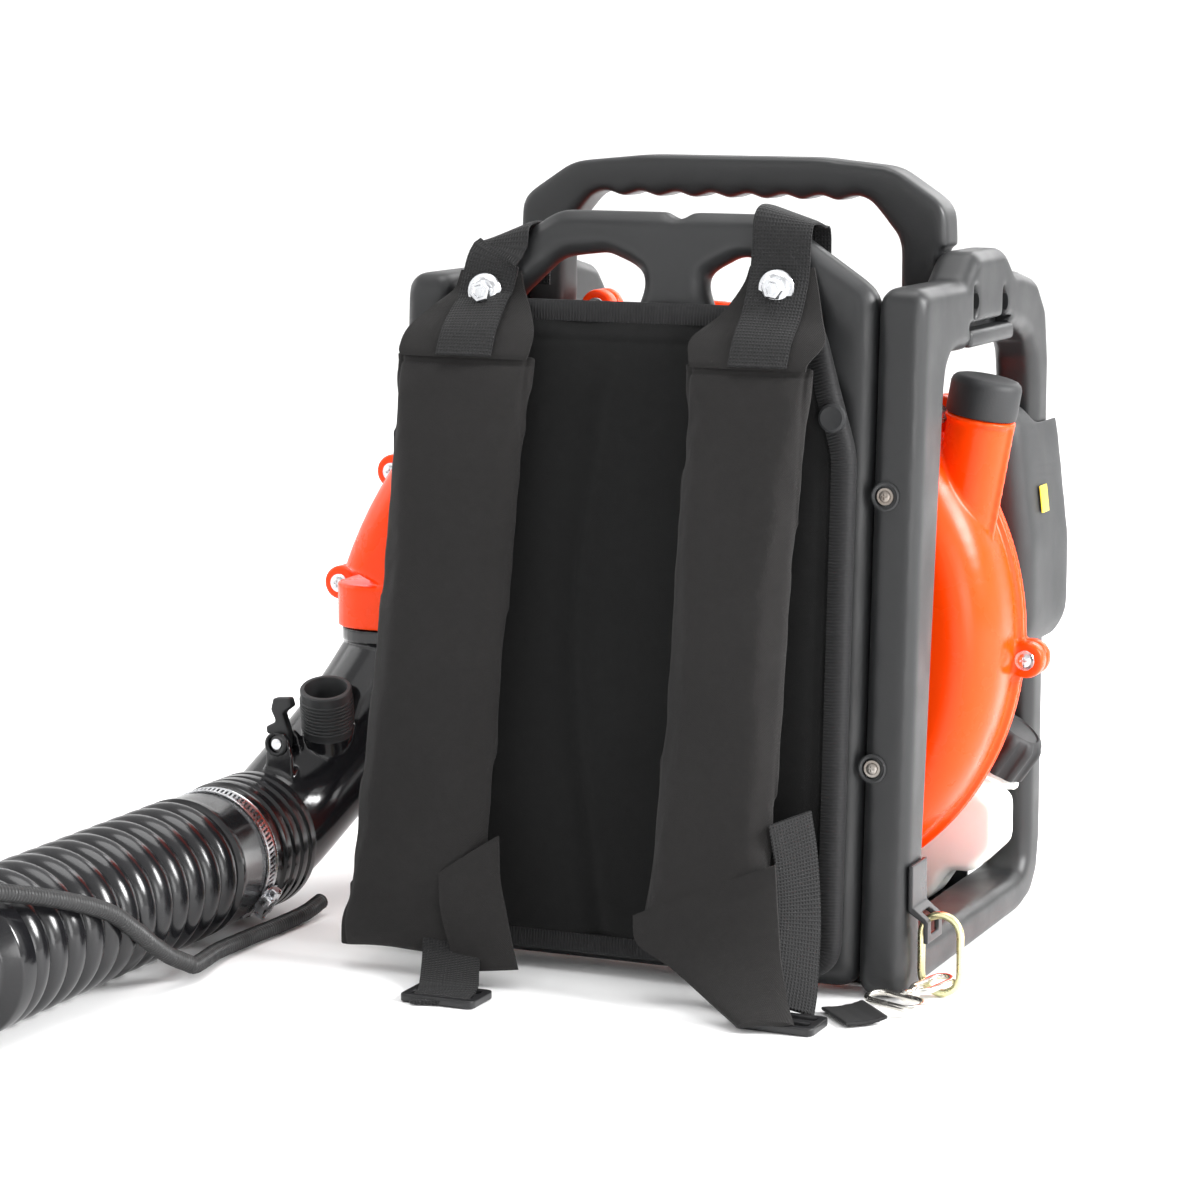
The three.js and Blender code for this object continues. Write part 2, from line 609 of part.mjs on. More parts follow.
add('impeller', 'matte', impeller());
add('crankshaft', 'steel', crankshaft());
add('flywheel', 'alloy', flywheel());
add('crankcase', 'alloy', crankcase());
add('cylinder', 'alloy', cylinder());
add('piston', 'alloy', piston());
add('spark_plug', 'rubber', sparkPlug());
add('cylinder_shroud', 'matte', shroud());
add('muffler', 'steel', muffler());
add('carburetor', 'alloy', carburetor());
add('primer_bulb', 'rubber', primerBulb());
add('choke_lever', 'orange', chokeLever());
add('filter_base', 'matte', filterBase());
add('filter_element', 'foam', filterElement());
add('filter_cover', 'matte', filterCover());
add('recoil_housing', 'matte', recoilHousing());
add('starter_pulley', 'matte', starterPulley());
add('starter_grip', 'rubber', starterGrip());

// ---- Fuel tank ----

const NECK = { foot: at(152, 71.5, 96), up: at(0.57, 0, 0.82).normalize() };
const neckAt = (along) => NECK.foot.clone().addScaledVector(NECK.up, along);

function fuelTank() {
  const right = plate(outline([[-60, 8, 12], [118, 8, 12], [134, 32, 10], [150, 32, 10], [168, 50, 10],
    [168, 80, 9], [132, 108, 12], [-60, 104, 12]]), 'y', 52, 93, 4, 3);
  const middle = plate(outline([[-60, 8, 12], [116, 8, 12], [126, 34, 9], [141, 34, 7], [141, 104, 12],
    [-60, 104, 12]]), 'y', 86, 113, 4, 3);
  const neck = rod(18, neckAt(-10), neckAt(24), 16);
  const ring = rod(24, neckAt(6), neckAt(9), 16);
  const block = join(right, middle, neck, ring);
  const hollow = join(box(-54, 112, 58, 107, 14, 98), box(100, 160, 58, 87, 46, 84));
  return cut(block, hollow, rod(14, neckAt(-30), neckAt(40), 12));
}

function fuelCap() {
  const lobes = 10;
  const samples = lobes * 4;
  const ring = (radius, depth, along) => Array.from({ length: samples }, (_, i) => {
    const angle = 2 * Math.PI * i / samples;
    const out = radius + depth * Math.cos(angle * lobes);
    return at(out * Math.cos(angle), along, out * Math.sin(angle));
  });
  const cap = loft([ring(22.6, 0.8, 0), ring(22.2, 1.3, 3), ring(22.2, 1.3, 26), ring(19, 0.6, 30)]);
  const start = neckAt(12);
  return cut(aim(cap, start, NECK.up), rod(18.6, neckAt(10), neckAt(25), 16));
}

add('fuel_tank', 'tank', fuelTank());
add('fuel_cap', 'rubber', fuelCap());

// ---- Air tube ----

const ELBOW_ROUTE = [
  at(-245, 1, OUTLET.z - GAP), at(-245, 1, 168), at(-269, -24, 116), at(-294, -60, 72),
  at(HOSE_X, -99, HOSE_Z), at(HOSE_X, -130, HOSE_Z), at(HOSE_X, -165, HOSE_Z),
];
const STUB = { foot: at(-274, -58, 92), top: at(-267, -76, 149) };
const LATCH = { x: -293, y: -88, z: 112 };

function elbow() {
  const rim = outline([[OUTLET.left + 1, CASE_REAR + 4, 34], [OUTLET.right - 1, CASE_REAR + 4, 34],
    [OUTLET.right - 1, CASE_FRONT - 1, 24], [OUTLET.left + 1, CASE_FRONT - 1, 24]]);
  const flange = plate(rim, 'z', OUTLET.z - 10, OUTLET.z - GAP, 0, 4);
  const ears = [-9.5, 4.5].map((dy) => plate(outline([[LATCH.x - 9, 84, 3], [LATCH.x + 9, 84, 3],
    [LATCH.x + 7, LATCH.z + 6, 5], [LATCH.x - 7, LATCH.z + 6, 5]]),
  'y', LATCH.y + dy, LATCH.y + dy + 5, 0, 3));
  const pin = rod(2.5, at(LATCH.x, LATCH.y - 8, LATCH.z), at(LATCH.x, LATCH.y + 8, LATCH.z), 10);
  const stub = rod(17.5, STUB.foot, STUB.top, 16);
  const outer = join(tube(ELBOW_ROUTE, ELBOW_RADIUS, 12, 20), flange, stub, ...ears, pin);
  const start = ELBOW_ROUTE[0].clone().add(at(0, 0, 12));
  const end = ELBOW_ROUTE.at(-1).clone().add(at(0, -20, 0));
  const way = rod(14, STUB.foot, STUB.top.clone().add(at(0, 0, 20)), 14);
  return cut(outer, tube([start, ...ELBOW_ROUTE, end], ELBOW_RADIUS - 3.5, 12, 16), way);
}

// Z-shaped catch between the two ears, standing up beside the port stub.
function latchLever() {
  const shape = outline([[-5, -6, 4], [5, -6, 4], [5, 8, 3], [1, 20, 3], [8, 25, 2], [6, 31, 2],
    [-6, 30, 2], [-8, 22, 3], [-4, 14, 2], [-12, 10, 2], [-11, 5, 2], [-5, 5, 2]]);
  const lever = plate(shape, 'y', LATCH.y - 3.9, LATCH.y + 3.9, 0, 3).translate(LATCH.x, 0, LATCH.z);
  return cut(lever, rod(2.9, at(LATCH.x, LATCH.y - 9, LATCH.z), at(LATCH.x, LATCH.y + 9, LATCH.z), 12));
}

const alongHose = (y) => at(HOSE_X, y, HOSE_Z);
const TOWARDS = Y.clone().negate();

// Rubber cuff over the end of the elbow, with ribs, then the first stretch of the bellows.
function bellowsRear() {
  const profile = [[ELBOW_RADIUS + 1, 0], [44, 0], [45.5, 4], [45.5, 36], [44, 42], [44, 92],
    [HOSE_RADIUS, 98], [HOSE_RADIUS, 146], [38, 146], [38, 66], [ELBOW_RADIUS + 1, 66]];
  return turned(profile, alongHose(-106), TOWARDS, 20);
}

function hoseClamp() {
  const strip = sleeve(44.4, 45.6, alongHose(-158), TOWARDS, 13, 24);
  const angle = -35 * Math.PI / 180;
  const turn = Math.PI / 2 - angle;
  const housing = box(-7, 7, -170, -159, -3, 6).rotateY(turn);
  const screw = rod(4, at(-12, -164.5, 2), at(11, -164.5, 2), 12).rotateY(turn);
  const [x, z] = [HOSE_X + 48.4 * Math.cos(angle), HOSE_Z + 48.4 * Math.sin(angle)];
  return join(strip, housing.translate(x, 0, z), screw.translate(x, 0, z));
}

const bellowsPiece = (from, to) => sleeve(38, HOSE_RADIUS, alongHose(from), TOWARDS, from - to, 20);

add('elbow', 'gloss', elbow());
add('latch_lever', 'matte', latchLever());
add('hose_clamp', 'steel', hoseClamp());
add('bellows_rear', 'rubber', bellowsRear());
add('bellows_middle', 'rubber', bellowsPiece(-252 - GAP, -330));
add('bellows_front', 'rubber', bellowsPiece(-330 - GAP, TUBE_START));

// The rigid tube is made along its own axis and then tilted, so that the nozzle reaches the floor.
const ORIGIN_TUBE = at(HOSE_X, TUBE_START, HOSE_Z);
function tilted(shape) {
  const geometry = asGeometry(shape).rotateX(TUBE_TILT);
  return geometry.translate(ORIGIN_TUBE.x, ORIGIN_TUBE.y, ORIGIN_TUBE.z);
}

const PIPE_RADIUS = 31.5;
const PIPE_BORE = 29;
const SOCKET = PIPE_RADIUS + 0.8;   // sleeves that the next piece turns in

function handleTube() {
  return turned([[30, 1.5], [HOSE_RADIUS, 1.5], [HOSE_RADIUS, 16], [37, 22], [36, 30], [36, 176], [37, 180],
    [37, 212], [SOCKET, 212], [SOCKET, 182], [30, 180]], at(0, 0, 0), TOWARDS);
}

const blowPipe = () => turned([[PIPE_BORE, 184], [PIPE_RADIUS, 184], [PIPE_RADIUS, 486], [33.6, 490],
  [33.6, 522], [31.8, 522], [31.8, 496], [PIPE_BORE, 492]], at(0, 0, 0), TOWARDS);

const nozzle = () => turned([[28, 498], [31, 498], [31, 530], [26, 790], [24, 806], [22, 806], [24, 788],
  [28, 528]], at(0, 0, 0), TOWARDS);

const GRIP_AT = -110;               // along the rigid tube, where the pistol grip is clamped

function throttleGrip() {
  const ring = sleeve(36.6, 41, at(0, GRIP_AT + 16, 0), TOWARDS, 32, 24);
  const stock = plate(outline([[GRIP_AT - 22, 38, 6], [GRIP_AT + 20, 38, 6], [GRIP_AT + 22, 64, 10],
    [GRIP_AT + 34, 128, 12], [GRIP_AT + 30, 150, 10], [GRIP_AT - 12, 146, 12], [GRIP_AT - 30, 128, 8],
    [GRIP_AT - 26, 112, 7], [GRIP_AT - 8, 100, 8], [GRIP_AT - 12, 60, 8]]), 'x', -15, 15, 3, 4);
  const recess = box(-6, 6, GRIP_AT - 50, GRIP_AT - 2, 58, 118);
  const well = box(-6, 6, GRIP_AT - 8, GRIP_AT + 12, 144, 170);
  return cut(join(ring, stock), recess, well, rod(36.6, at(0, 0, 0), at(0, -300, 0), 24));
}

function throttleTrigger() {
  const shape = outline([[GRIP_AT - 26, 112, 3], [GRIP_AT - 12, 112, 3], [GRIP_AT - 14, 90, 6],
    [GRIP_AT - 20, 68, 2], [GRIP_AT - 28, 66, 2], [GRIP_AT - 24, 90, 6]]);
  return plate(shape, 'x', -5, 5, 0, 4);
}

const stopSwitch = () => box(-5, 5, GRIP_AT - 3, GRIP_AT + 7, 144.6, 155);

add('handle_tube', 'gloss', tilted(handleTube()));
add('throttle_grip', 'matte', tilted(throttleGrip()));
add('throttle_trigger', 'orange', tilted(throttleTrigger()));
add('stop_switch', 'orange', tilted(stopSwitch()));
add('blow_pipe', 'gloss', tilted(blowPipe()));
add('nozzle', 'gloss', tilted(nozzle()));

// Throttle conduit: out from under the cuff, along the floor, then up over the hose to the grip.
const CONDUIT_RADIUS = 5.5;
const CONDUIT_REAR = [
  at(-256, -106, 9), at(-255, -130, 6.6), at(-256, -165, 6.1), at(-258, -205, 6.3), at(-257, -240, 7.2),
  at(-251, -268, 8.5), at(-247.5, -284, 10), at(-248, -291, 13),
];
const CONDUIT_FRONT = [
  at(-248.4, -292.1, 13.6), at(-250, -308, 21.5), at(-250.5, -328, 34), at(-249.5, -352, 50),
  at(-252.5, -377, 66), at(-259, -425, 84), at(-271, -475, 98), at(-280, -505, 102), at(-284, -521, 100),
];

add('throttle_conduit_rear', 'rubber', tube(CONDUIT_REAR, CONDUIT_RADIUS, 14, 8));
add('throttle_conduit_front', 'rubber', tube(CONDUIT_FRONT, CONDUIT_RADIUS, 16, 8));

// ---- Harness ----

// Back pad, as wide as the frame's legs for most of its height and drawn in at the top.
function backPad() {
  const corners = [[-138, 10, 18], [138, 10, 18], [138, 330, 60], [112, 422, 24], [-112, 422, 24],
    [-138, 330, 60]];
  return leaning(plate(outline(corners), 'y', -16, -0.6, 6, 4));
}

// Station points down each shoulder pad: [x, y, z] of the middle, half width.
const PADS = {
  left: [[-114, -158, 412, 30], [-115.5, -163, 392, 52], [-118, -172, 330, 53], [-121, -184, 250, 53],
    [-126, -194, 160, 54], [-131, -202, 80, 55], [-133.5, -211, 15, 55]],
  right: [[82, -158, 412, 30], [76, -163, 392, 46], [74, -172, 330, 47], [72, -184, 250, 47],
    [70, -194, 160, 47], [67, -202, 80, 47], [65, -208, 26, 46]],
};

function shoulderPad(points) {
  return band(points.map(([x, y, z, half], i) => {
    const deep = i === 0 ? 4 : 9;
    return [at(x, y, z), at(half, 0, 0), at(0, deep, -deep * 0.12)];
  }), 1);
}

// Webbing from the top of a pad, up the front of the bar, over it and down behind. The bar's
// top slopes under it, so the webbing is set level with that slope.
function upperWebbing({ x, top, slope }) {
  const half = at(1, 0, slope).setLength(WEB_WIDTH / 2);
  const t = WEB_THICK / 2;
  const station = (y, z, thick) => [leanPoint(x, y, z), half, thick];
  return band([
    station(-7, 429, at(0, t, 0)), station(-3.4, 442, at(0, t, 0)), station(-3.4, top - 7, at(0, t, 0)),
    station(2, top + 1, at(0, t * 0.7, -t * 0.7)), station(13, top + 3, at(0, 0, -t)),
    station(25, top + 1, at(0, -t * 0.7, -t * 0.7)), station(30.4, top - 7, at(0, -t, 0)),
    station(30.4, 430, at(0, -t, 0)),
  ]);
}

// Ladder-lock buckle lying at the pad's end: a frame with two bars.
function ladderBuckle() {
  const window = (low, high) => [[-20, low, 2], [20, low, 2], [20, high, 2], [-20, high, 2]];
  const frame = outline([[-25, -15, 4], [25, -15, 4], [25, 15, 4], [-25, 15, 4]],
    window(-10, -3), window(3, 10));
  return plate(frame, 'z', -2.5, 2.5, 0, 3);
}
const placed = (shape, where, turn = 0, tilt = 0) => asGeometry(shape).rotateX(tilt).rotateZ(turn)
  .translate(where.x, where.y, where.z);

// Bracket screwed to the outside of a loop's rear post; the oval link hangs in its slot.
function anchorTab() {
  const profile = [[LOOP_OUT + GAP, 58], [LOOP_OUT + 3.3, 58], [189, 50], [189, 36], [186, 36], [186, 48.6],
    [LOOP_OUT + GAP, 55]];
  const upper = box(LOOP_OUT + GAP, LOOP_OUT + 3.3, -150, -122, 55, 84);
  const shape = join(plate(outline(profile.reverse()), 'y', -150, -122), upper);
  return cut(shape, box(180, 195, -143, -129, 41, 54.4));
}

function ovalLink() {
  const ring = link(15, 27, 2.4);
  return ring.rotateX(Math.PI / 2).translate(193, -136, 27.2);
}

function snapHook(turn) {
  const hook = join(link(8.6, 17, 2.1, 12).translate(0, -8, 0), rod(3.6, at(0, -22, 0), at(0, -36, 0), 8),
    link(10, 22, 2, 12).rotateZ(Math.PI / 2).translate(0, -43, 0));
  return placed(hook, at(194, -138, 11.4), turn, 0.1);
}

// Webbing along the floor from the hook's eye.
function lowerWebbing(from, end) {
  const across = at(from.y - end.y, end.x - from.x, 0).setLength(WEB_WIDTH / 2);
  const thick = at(0, 0, WEB_THICK / 2);
  return band([[from, across, thick], [from.clone().lerp(end, 0.3).setZ(3), across, thick],
    [from.clone().lerp(end, 0.6).setZ(2.4), across, thick], [end, across, thick]]);
}

const mirrored = (shape, side) => (side > 0 ? solid(shape) : solid(shape).mirror([1, 0, 0]));
// The left hook lies back beside the frame, and the right one forwards.
const turnedBack = (shape) => solid(shape).mirror([0, 1, 0]).translate([0, -272, 0]);
const BUCKLES = { left: at(-83, -262, 3), right: at(127, -236, 3) };
const LOOPS = { left: { x: -106, top: 459, slope: 0.62 }, right: { x: 84, top: 475, slope: -0.45 } };

add('back_pad', 'fabric', backPad());
for (const [name, side] of [['left', -1], ['right', 1]]) {
  add(`shoulder_pad_${name}`, 'fabric', shoulderPad(PADS[name]));
  add(`upper_webbing_${name}`, 'webbing', upperWebbing(LOOPS[name]));
  add(`strap_buckle_${name}`, 'gloss', placed(ladderBuckle(), BUCKLES[name]));
  add(`anchor_tab_${name}`, 'gloss', mirrored(anchorTab(), side));
  add(`oval_link_${name}`, 'zinc', mirrored(ovalLink(), side));
}
add('snap_hook_right', 'steel', snapHook(-0.38));
add('lower_webbing_right', 'webbing', lowerWebbing(at(171, -193, 5), at(151, -212, 3)));
add('snap_hook_left', 'steel', mirrored(turnedBack(snapHook(0.1)), -1));
const leftTail = turnedBack(lowerWebbing(at(199, -193, 5), at(201, -222, 3)));
add('lower_webbing_left', 'webbing', mirrored(leftTail, -1));

export default blower;
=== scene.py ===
import json
import math

import bmesh
import bpy
from mathutils import Matrix, Vector, noise


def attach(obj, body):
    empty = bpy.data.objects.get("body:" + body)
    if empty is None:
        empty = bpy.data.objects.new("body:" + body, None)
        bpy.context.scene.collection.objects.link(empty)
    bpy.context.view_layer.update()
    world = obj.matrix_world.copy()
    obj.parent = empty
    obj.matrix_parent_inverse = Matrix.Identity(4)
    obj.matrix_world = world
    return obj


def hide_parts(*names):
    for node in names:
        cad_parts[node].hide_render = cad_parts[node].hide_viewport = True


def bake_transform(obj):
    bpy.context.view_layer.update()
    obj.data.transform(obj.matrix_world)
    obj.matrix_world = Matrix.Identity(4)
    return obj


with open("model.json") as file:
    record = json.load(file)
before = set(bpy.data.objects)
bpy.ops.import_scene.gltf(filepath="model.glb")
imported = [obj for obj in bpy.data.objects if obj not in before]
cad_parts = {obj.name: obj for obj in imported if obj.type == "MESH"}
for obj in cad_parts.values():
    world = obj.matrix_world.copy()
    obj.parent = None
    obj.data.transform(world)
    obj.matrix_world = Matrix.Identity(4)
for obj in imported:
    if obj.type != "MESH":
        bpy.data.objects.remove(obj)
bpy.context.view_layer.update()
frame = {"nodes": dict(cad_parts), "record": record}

# Lengths are in metres, except where a name or a docstring says mm. -Y is the harness side, +Y the engine side.
MM = 0.001
BODY_OF = {node: body for body, nodes in frame["record"]["behaviour"]["bodies"].items() for node in nodes}
ROOT = "machine"
CLOTH_STEP = 2.5 * MM
X, Y, Z = Vector((1, 0, 0)), Vector((0, 1, 0)), Vector((0, 0, 1))


def mm(x, y, z):
    """A vector in metres from a place in mm."""
    return Vector((x, y, z)) * MM


# ---- Camera, floor and light ----

CAMERA_PLACE = mm(847, -2095, 577)
CAMERA_TURN, CAMERA_DROP, CAMERA_ROLL = math.radians(22.02), math.radians(7.98), math.radians(0.33)


def camera():
    """A long lens from the harness side, a little to the right and above."""
    back = Vector((math.sin(CAMERA_TURN) * math.cos(CAMERA_DROP), -math.cos(CAMERA_TURN) * math.cos(CAMERA_DROP),
                   math.sin(CAMERA_DROP)))
    right = Vector((math.cos(CAMERA_TURN), math.sin(CAMERA_TURN), 0))
    up = back.cross(right)
    across = right * math.cos(CAMERA_ROLL) + up * math.sin(CAMERA_ROLL)
    upright = up * math.cos(CAMERA_ROLL) - right * math.sin(CAMERA_ROLL)
    lens = bpy.data.cameras.new("camera")
    lens.sensor_width = 36
    lens.lens = 103.3
    lens.shift_x = -0.1123
    lens.shift_y = -0.0559
    lens.clip_end = 60
    view = bpy.data.objects.new("camera", lens)
    bpy.context.scene.collection.objects.link(view)
    view.matrix_world = Matrix((across, upright, back)).transposed().to_4x4()
    view.matrix_world.translation = CAMERA_PLACE
    bpy.context.scene.camera = view


def area_light(name, place, size, power, aim=(0, -0.05, 0.2)):
    lamp = bpy.data.lights.new(name, "AREA")
    lamp.shape = "DISK"
    lamp.size = size
    lamp.energy = power
    light = bpy.data.objects.new(name, lamp)
    bpy.context.scene.collection.objects.link(light)
    place = Vector(place)
    light.location = place
    light.rotation_euler = (place - Vector(aim)).to_track_quat("Z", "Y").to_euler()


def lights():
    area_light("key", (3.4, 0.35, 2.0), 1.6, 270)
    area_light("front", (-0.8, -3.2, 1.9), 2.6, 10)
    area_light("left", (-3.0, -0.4, 1.8), 2.4, 26)
    area_light("low right", (2.4, -1.7, 0.5), 1.2, 22, (0.15, 0.05, 0.08))
    area_light("top", (0.1, 0.3, 3.2), 2.4, 55)
    area_light("behind", (0.6, 3.2, 2.0), 2.4, 45)
    world = bpy.data.worlds.new("studio")
    world.use_nodes = True
    sky = world.node_tree.nodes["Background"]
    sky.inputs["Color"].default_value = (1, 1, 1, 1)
    sky.inputs["Strength"].default_value = 0.86
    bpy.context.scene.world = world
    bpy.context.scene.view_settings.view_transform = "Standard"


# ---- Mesh tools ----

def link(name, mesh, material=None, smooth=True):
    """Puts a mesh into the scene as a piece."""
    piece = bpy.data.objects.new(name, mesh)
    bpy.context.scene.collection.objects.link(piece)
    if material is not None:
        mesh.materials.clear()
        mesh.materials.append(material)
    mesh.polygons.foreach_set("use_smooth", [smooth] * len(mesh.polygons))
    return piece


def build(name, points, faces, material=None, smooth=True):
    """A piece from points in metres and faces, with doubled points merged and every face turned outwards."""
    mesh = bpy.data.meshes.new(name)
    mesh.from_pydata([tuple(p) for p in points], [], faces)
    mesh.validate()
    work = bmesh.new()
    work.from_mesh(mesh)
    bmesh.ops.remove_doubles(work, verts=work.verts, dist=1e-6)
    bmesh.ops.recalc_face_normals(work, faces=work.faces)
    work.to_mesh(mesh)
    work.free()
    return link(name, mesh, material, smooth)


def crisp(piece, degrees=35):
    """Shades edges sharper than an angle as edges, and the rest smoothly."""
    piece.data.set_sharp_from_angle(angle=math.radians(degrees))
    return piece


def turning(axis):
    """The rotation that takes +Z to an axis."""
    return Z.rotation_difference(Vector(axis).normalized()).to_matrix()


def rings_joined(count, size, closed=False):
    """Faces that join count rings of size points in turn. The ends are capped, unless the rings are closed."""
    faces = []
    for i in range(count if closed else count - 1):
        a, b = i * size, (i + 1) % count * size
        for k in range(size):
            n = (k + 1) % size
            faces.append((a + k, a + n, b + n, b + k))
    if not closed:
        faces += [tuple(range(size)), tuple(range((count - 1) * size, count * size))]
    return faces


def sheet_faces(rows, columns):
    """Faces of a closed sheet, whose points are all of one side in rows, and then all of the other."""
    total = rows * columns
    faces = []
    for base in (0, total):
        for i in range(rows - 1):
            for k in range(columns - 1):
                a = base + i * columns + k
                faces.append((a, a + 1, a + 1 + columns, a + columns))
    for i in range(rows - 1):
        for a in (i * columns, (i + 1) * columns - 1):
            faces.append((a, a + columns, a + columns + total, a + total))
    for k in range(columns - 1):
        for a in (k, (rows - 1) * columns + k):
            faces.append((a, a + 1, a + 1 + total, a + total))
    return faces


def lathe(name, profile, start, axis, material=None, sides=64, closed=False, sharp=35, bulge=None):
    """A turned piece from (radius, distance) in mm. A closed profile makes a ring, an open one a solid."""
    turn = turning(axis)
    points, faces = [], []
    count = len(profile)
    for i in range(sides):
        angle = 2 * math.pi * i / sides
        for radius, along in profile:
            r = radius if bulge is None else radius + bulge(angle, along)
            points.append(Vector(start) + turn @ (mm(r * math.cos(angle), r * math.sin(angle), along)))
    for i in range(sides):
        a, b = i * count, (i + 1) % sides * count
        for j in range(count if closed else count - 1):
            k = (j + 1) % count
            faces.append((a + j, b + j, b + k, a + k))
    piece = build(name, points, faces, material)
    return crisp(piece, sharp) if sharp else piece


def smooth_path(points, steps):
    """Catmull-Rom curve through a list of vectors, with steps pieces in each span."""
    ends = [points[0] * 2 - points[1], *points, points[-1] * 2 - points[-2]]
    line = []
    for i in range(1, len(ends) - 2):
        a, b, c, d = ends[i - 1:i + 3]
        for s in range(steps):
            t = s / steps
            line.append(0.5 * (2 * b + (c - a) * t + (2 * a - 5 * b + 4 * c - d) * t * t
                               + (3 * b - a - 3 * c + d) * t * t * t))
    line.append(points[-1].copy())
    return line


def even_path(points, spacing):
    """The same path with points at an even spacing."""
    lengths = [0.0]
    for a, b in zip(points, points[1:]):
        lengths.append(lengths[-1] + (b - a).length)
    count = max(2, round(lengths[-1] / spacing))
    line, j = [], 0
    for i in range(count + 1):
        goal = lengths[-1] * i / count
        while j < len(points) - 2 and lengths[j + 1] < goal:
            j += 1
        share = (goal - lengths[j]) / max(lengths[j + 1] - lengths[j], 1e-9)
        line.append(points[j].lerp(points[j + 1], min(share, 1.0)))
    return line


def tube(name, path, radius, material=None, sides=24, closed=False, sharp=50):
    """A tube along a path. Its radius is a number, or a function of the distance along the path."""
    count = len(path)
    points, side = [], None
    run = 0.0
    for i, here in enumerate(path):
        before = path[i - 1] if i > 0 or closed else here
        after = path[(i + 1) % count] if i + 1 < count or closed else here
        ahead = (after - before).normalized()
        if side is None:
            side = ahead.orthogonal().normalized()
        side = (side - ahead * side.dot(ahead)).normalized()
        other = ahead.cross(side)
        if i > 0:
            run += (here - path[i - 1]).length
        r = radius(run) if callable(radius) else radius
        for k in range(sides):
            angle = 2 * math.pi * k / sides
            points.append(here + (side * math.cos(angle) + other * math.sin(angle)) * r)
    return crisp(build(name, points, rings_joined(count, sides, closed), material), sharp)


def woven(name, points, faces, weave, material):
    """A mesh that keeps its place in the weave, (across, along) in metres, for its material."""
    mesh = bpy.data.meshes.new(name)
    mesh.from_pydata([tuple(p) for p in points], [], faces)
    place = mesh.attributes.new("weave", "FLOAT_VECTOR", "POINT")
    place.data.foreach_set("vector", [c for w in weave for c in w])
    work = bmesh.new()
    work.from_mesh(mesh)
    bmesh.ops.recalc_face_normals(work, faces=work.faces)
    work.to_mesh(mesh)
    work.free()
    return link(name, mesh, material)


def strap(name, centres, across, width, thick, material, crown=0.0):
    """Webbing along a path. across is the direction of its width, one for each point or one for all."""
    if isinstance(across, Vector):
        across = [across] * len(centres)
    dense = even_path(smooth_path(centres, 8), CLOTH_STEP)
    wide = even_path(smooth_path(across, 8), CLOTH_STEP)
    columns = 10
    section = [(2 * k / columns - 1, 1) for k in range(columns + 1)]
    section += [(1 - 2 * k / columns, -1) for k in range(columns + 1)]
    points, weave = [], []
    run = 0.0
    for i, here in enumerate(dense):
        ahead = (dense[min(i + 1, len(dense) - 1)] - dense[max(i - 1, 0)]).normalized()
        wish = wide[min(round(i * (len(wide) - 1) / max(len(dense) - 1, 1)), len(wide) - 1)]
        flat = (wish - ahead * wish.dot(ahead)).normalized()
        up = flat.cross(ahead).normalized()
        if i > 0:
            run += (here - dense[i - 1]).length
        for u, v in section:
            edge = 1 - 0.45 * abs(u) ** 12
            rise = v * thick / 2 * edge + crown * (1 - u * u)
            points.append(here + flat * (u * width / 2) + up * rise)
            weave.append((u * width / 2, run, 0))
    return crisp(woven(name, points, rings_joined(len(dense), len(section)), weave, material), 50)


def moved(piece, turn, place):
    """Turns a piece's mesh about the origin, and then carries it to its place."""
    piece.data.transform(turn.to_4x4())
    piece.data.transform(Matrix.Translation(place))
    return piece


def block(name, low, high, material=None, bevel=0.0, turn=None, centre=None):
    """A box between two corners in mm, with rounded edges if bevel is set, turned about its own middle."""
    low, high = Vector(low), Vector(high)
    middle, half = (low + high) / 2 * MM, (high - low) / 2 * MM
    points = [(a * half.x, b * half.y, c * half.z) for a in (-1, 1) for b in (-1, 1) for c in (-1, 1)]
    faces = [(0, 1, 3, 2), (4, 6, 7, 5), (0, 4, 5, 1), (2, 3, 7, 6), (0, 2, 6, 4), (1, 5, 7, 3)]
    piece = build(name, points, faces, material, smooth=bevel > 0)
    if bevel > 0:
        crisp(bevelled(piece, bevel, 3))
    turn = Matrix.Identity(3) if turn is None else turn
    return moved(piece, turn, middle if centre is None else centre)


def settle(piece):
    """Applies a piece's modifiers."""
    ready = piece.evaluated_get(bpy.context.evaluated_depsgraph_get())
    mesh = bpy.data.meshes.new_from_object(ready)
    piece.modifiers.clear()
    piece.data = mesh
    return piece


def bevelled(piece, width, segments):
    """Rounds every edge to a width in mm."""
    edge = piece.modifiers.new("Bevel", "BEVEL")
    edge.width = width * MM
    edge.segments = segments
    return settle(piece)


def boolean(piece, others, operation):
    """Adds or takes away closed pieces, which are used up."""
    for other in others:
        step = piece.modifiers.new("Boolean", "BOOLEAN")
        step.operation = operation
        step.solver = "MANIFOLD"
        step.object = other
        settle(piece)
        bpy.data.objects.remove(other)
    return piece


def united(piece, *others):
    return boolean(piece, others, "UNION")


def cut(piece, *others):
    return boolean(piece, others, "DIFFERENCE")


def joined(name, pieces):
    """One object from several, each keeping its own shape."""
    work = bmesh.new()
    materials = []
    for piece in pieces:
        copy = piece.data.copy()
        copy.transform(piece.matrix_world)
        own = piece.data.materials[0] if piece.data.materials else None
        if own not in materials:
            materials.append(own)
        for face in copy.polygons:
            face.material_index = materials.index(own)
        work.from_mesh(copy)
        bpy.data.objects.remove(piece)
    mesh = bpy.data.meshes.new(name)
    work.to_mesh(mesh)
    work.free()
    whole = bpy.data.objects.new(name, mesh)
    bpy.context.scene.collection.objects.link(whole)
    for own in materials:
        mesh.materials.append(own)
    return whole


def eased(piece, rounds):
    """Evens a mesh out by a number of smoothing rounds."""
    ease = piece.modifiers.new("Smooth", "SMOOTH")
    ease.factor = 0.5
    ease.iterations = rounds
    return settle(piece)


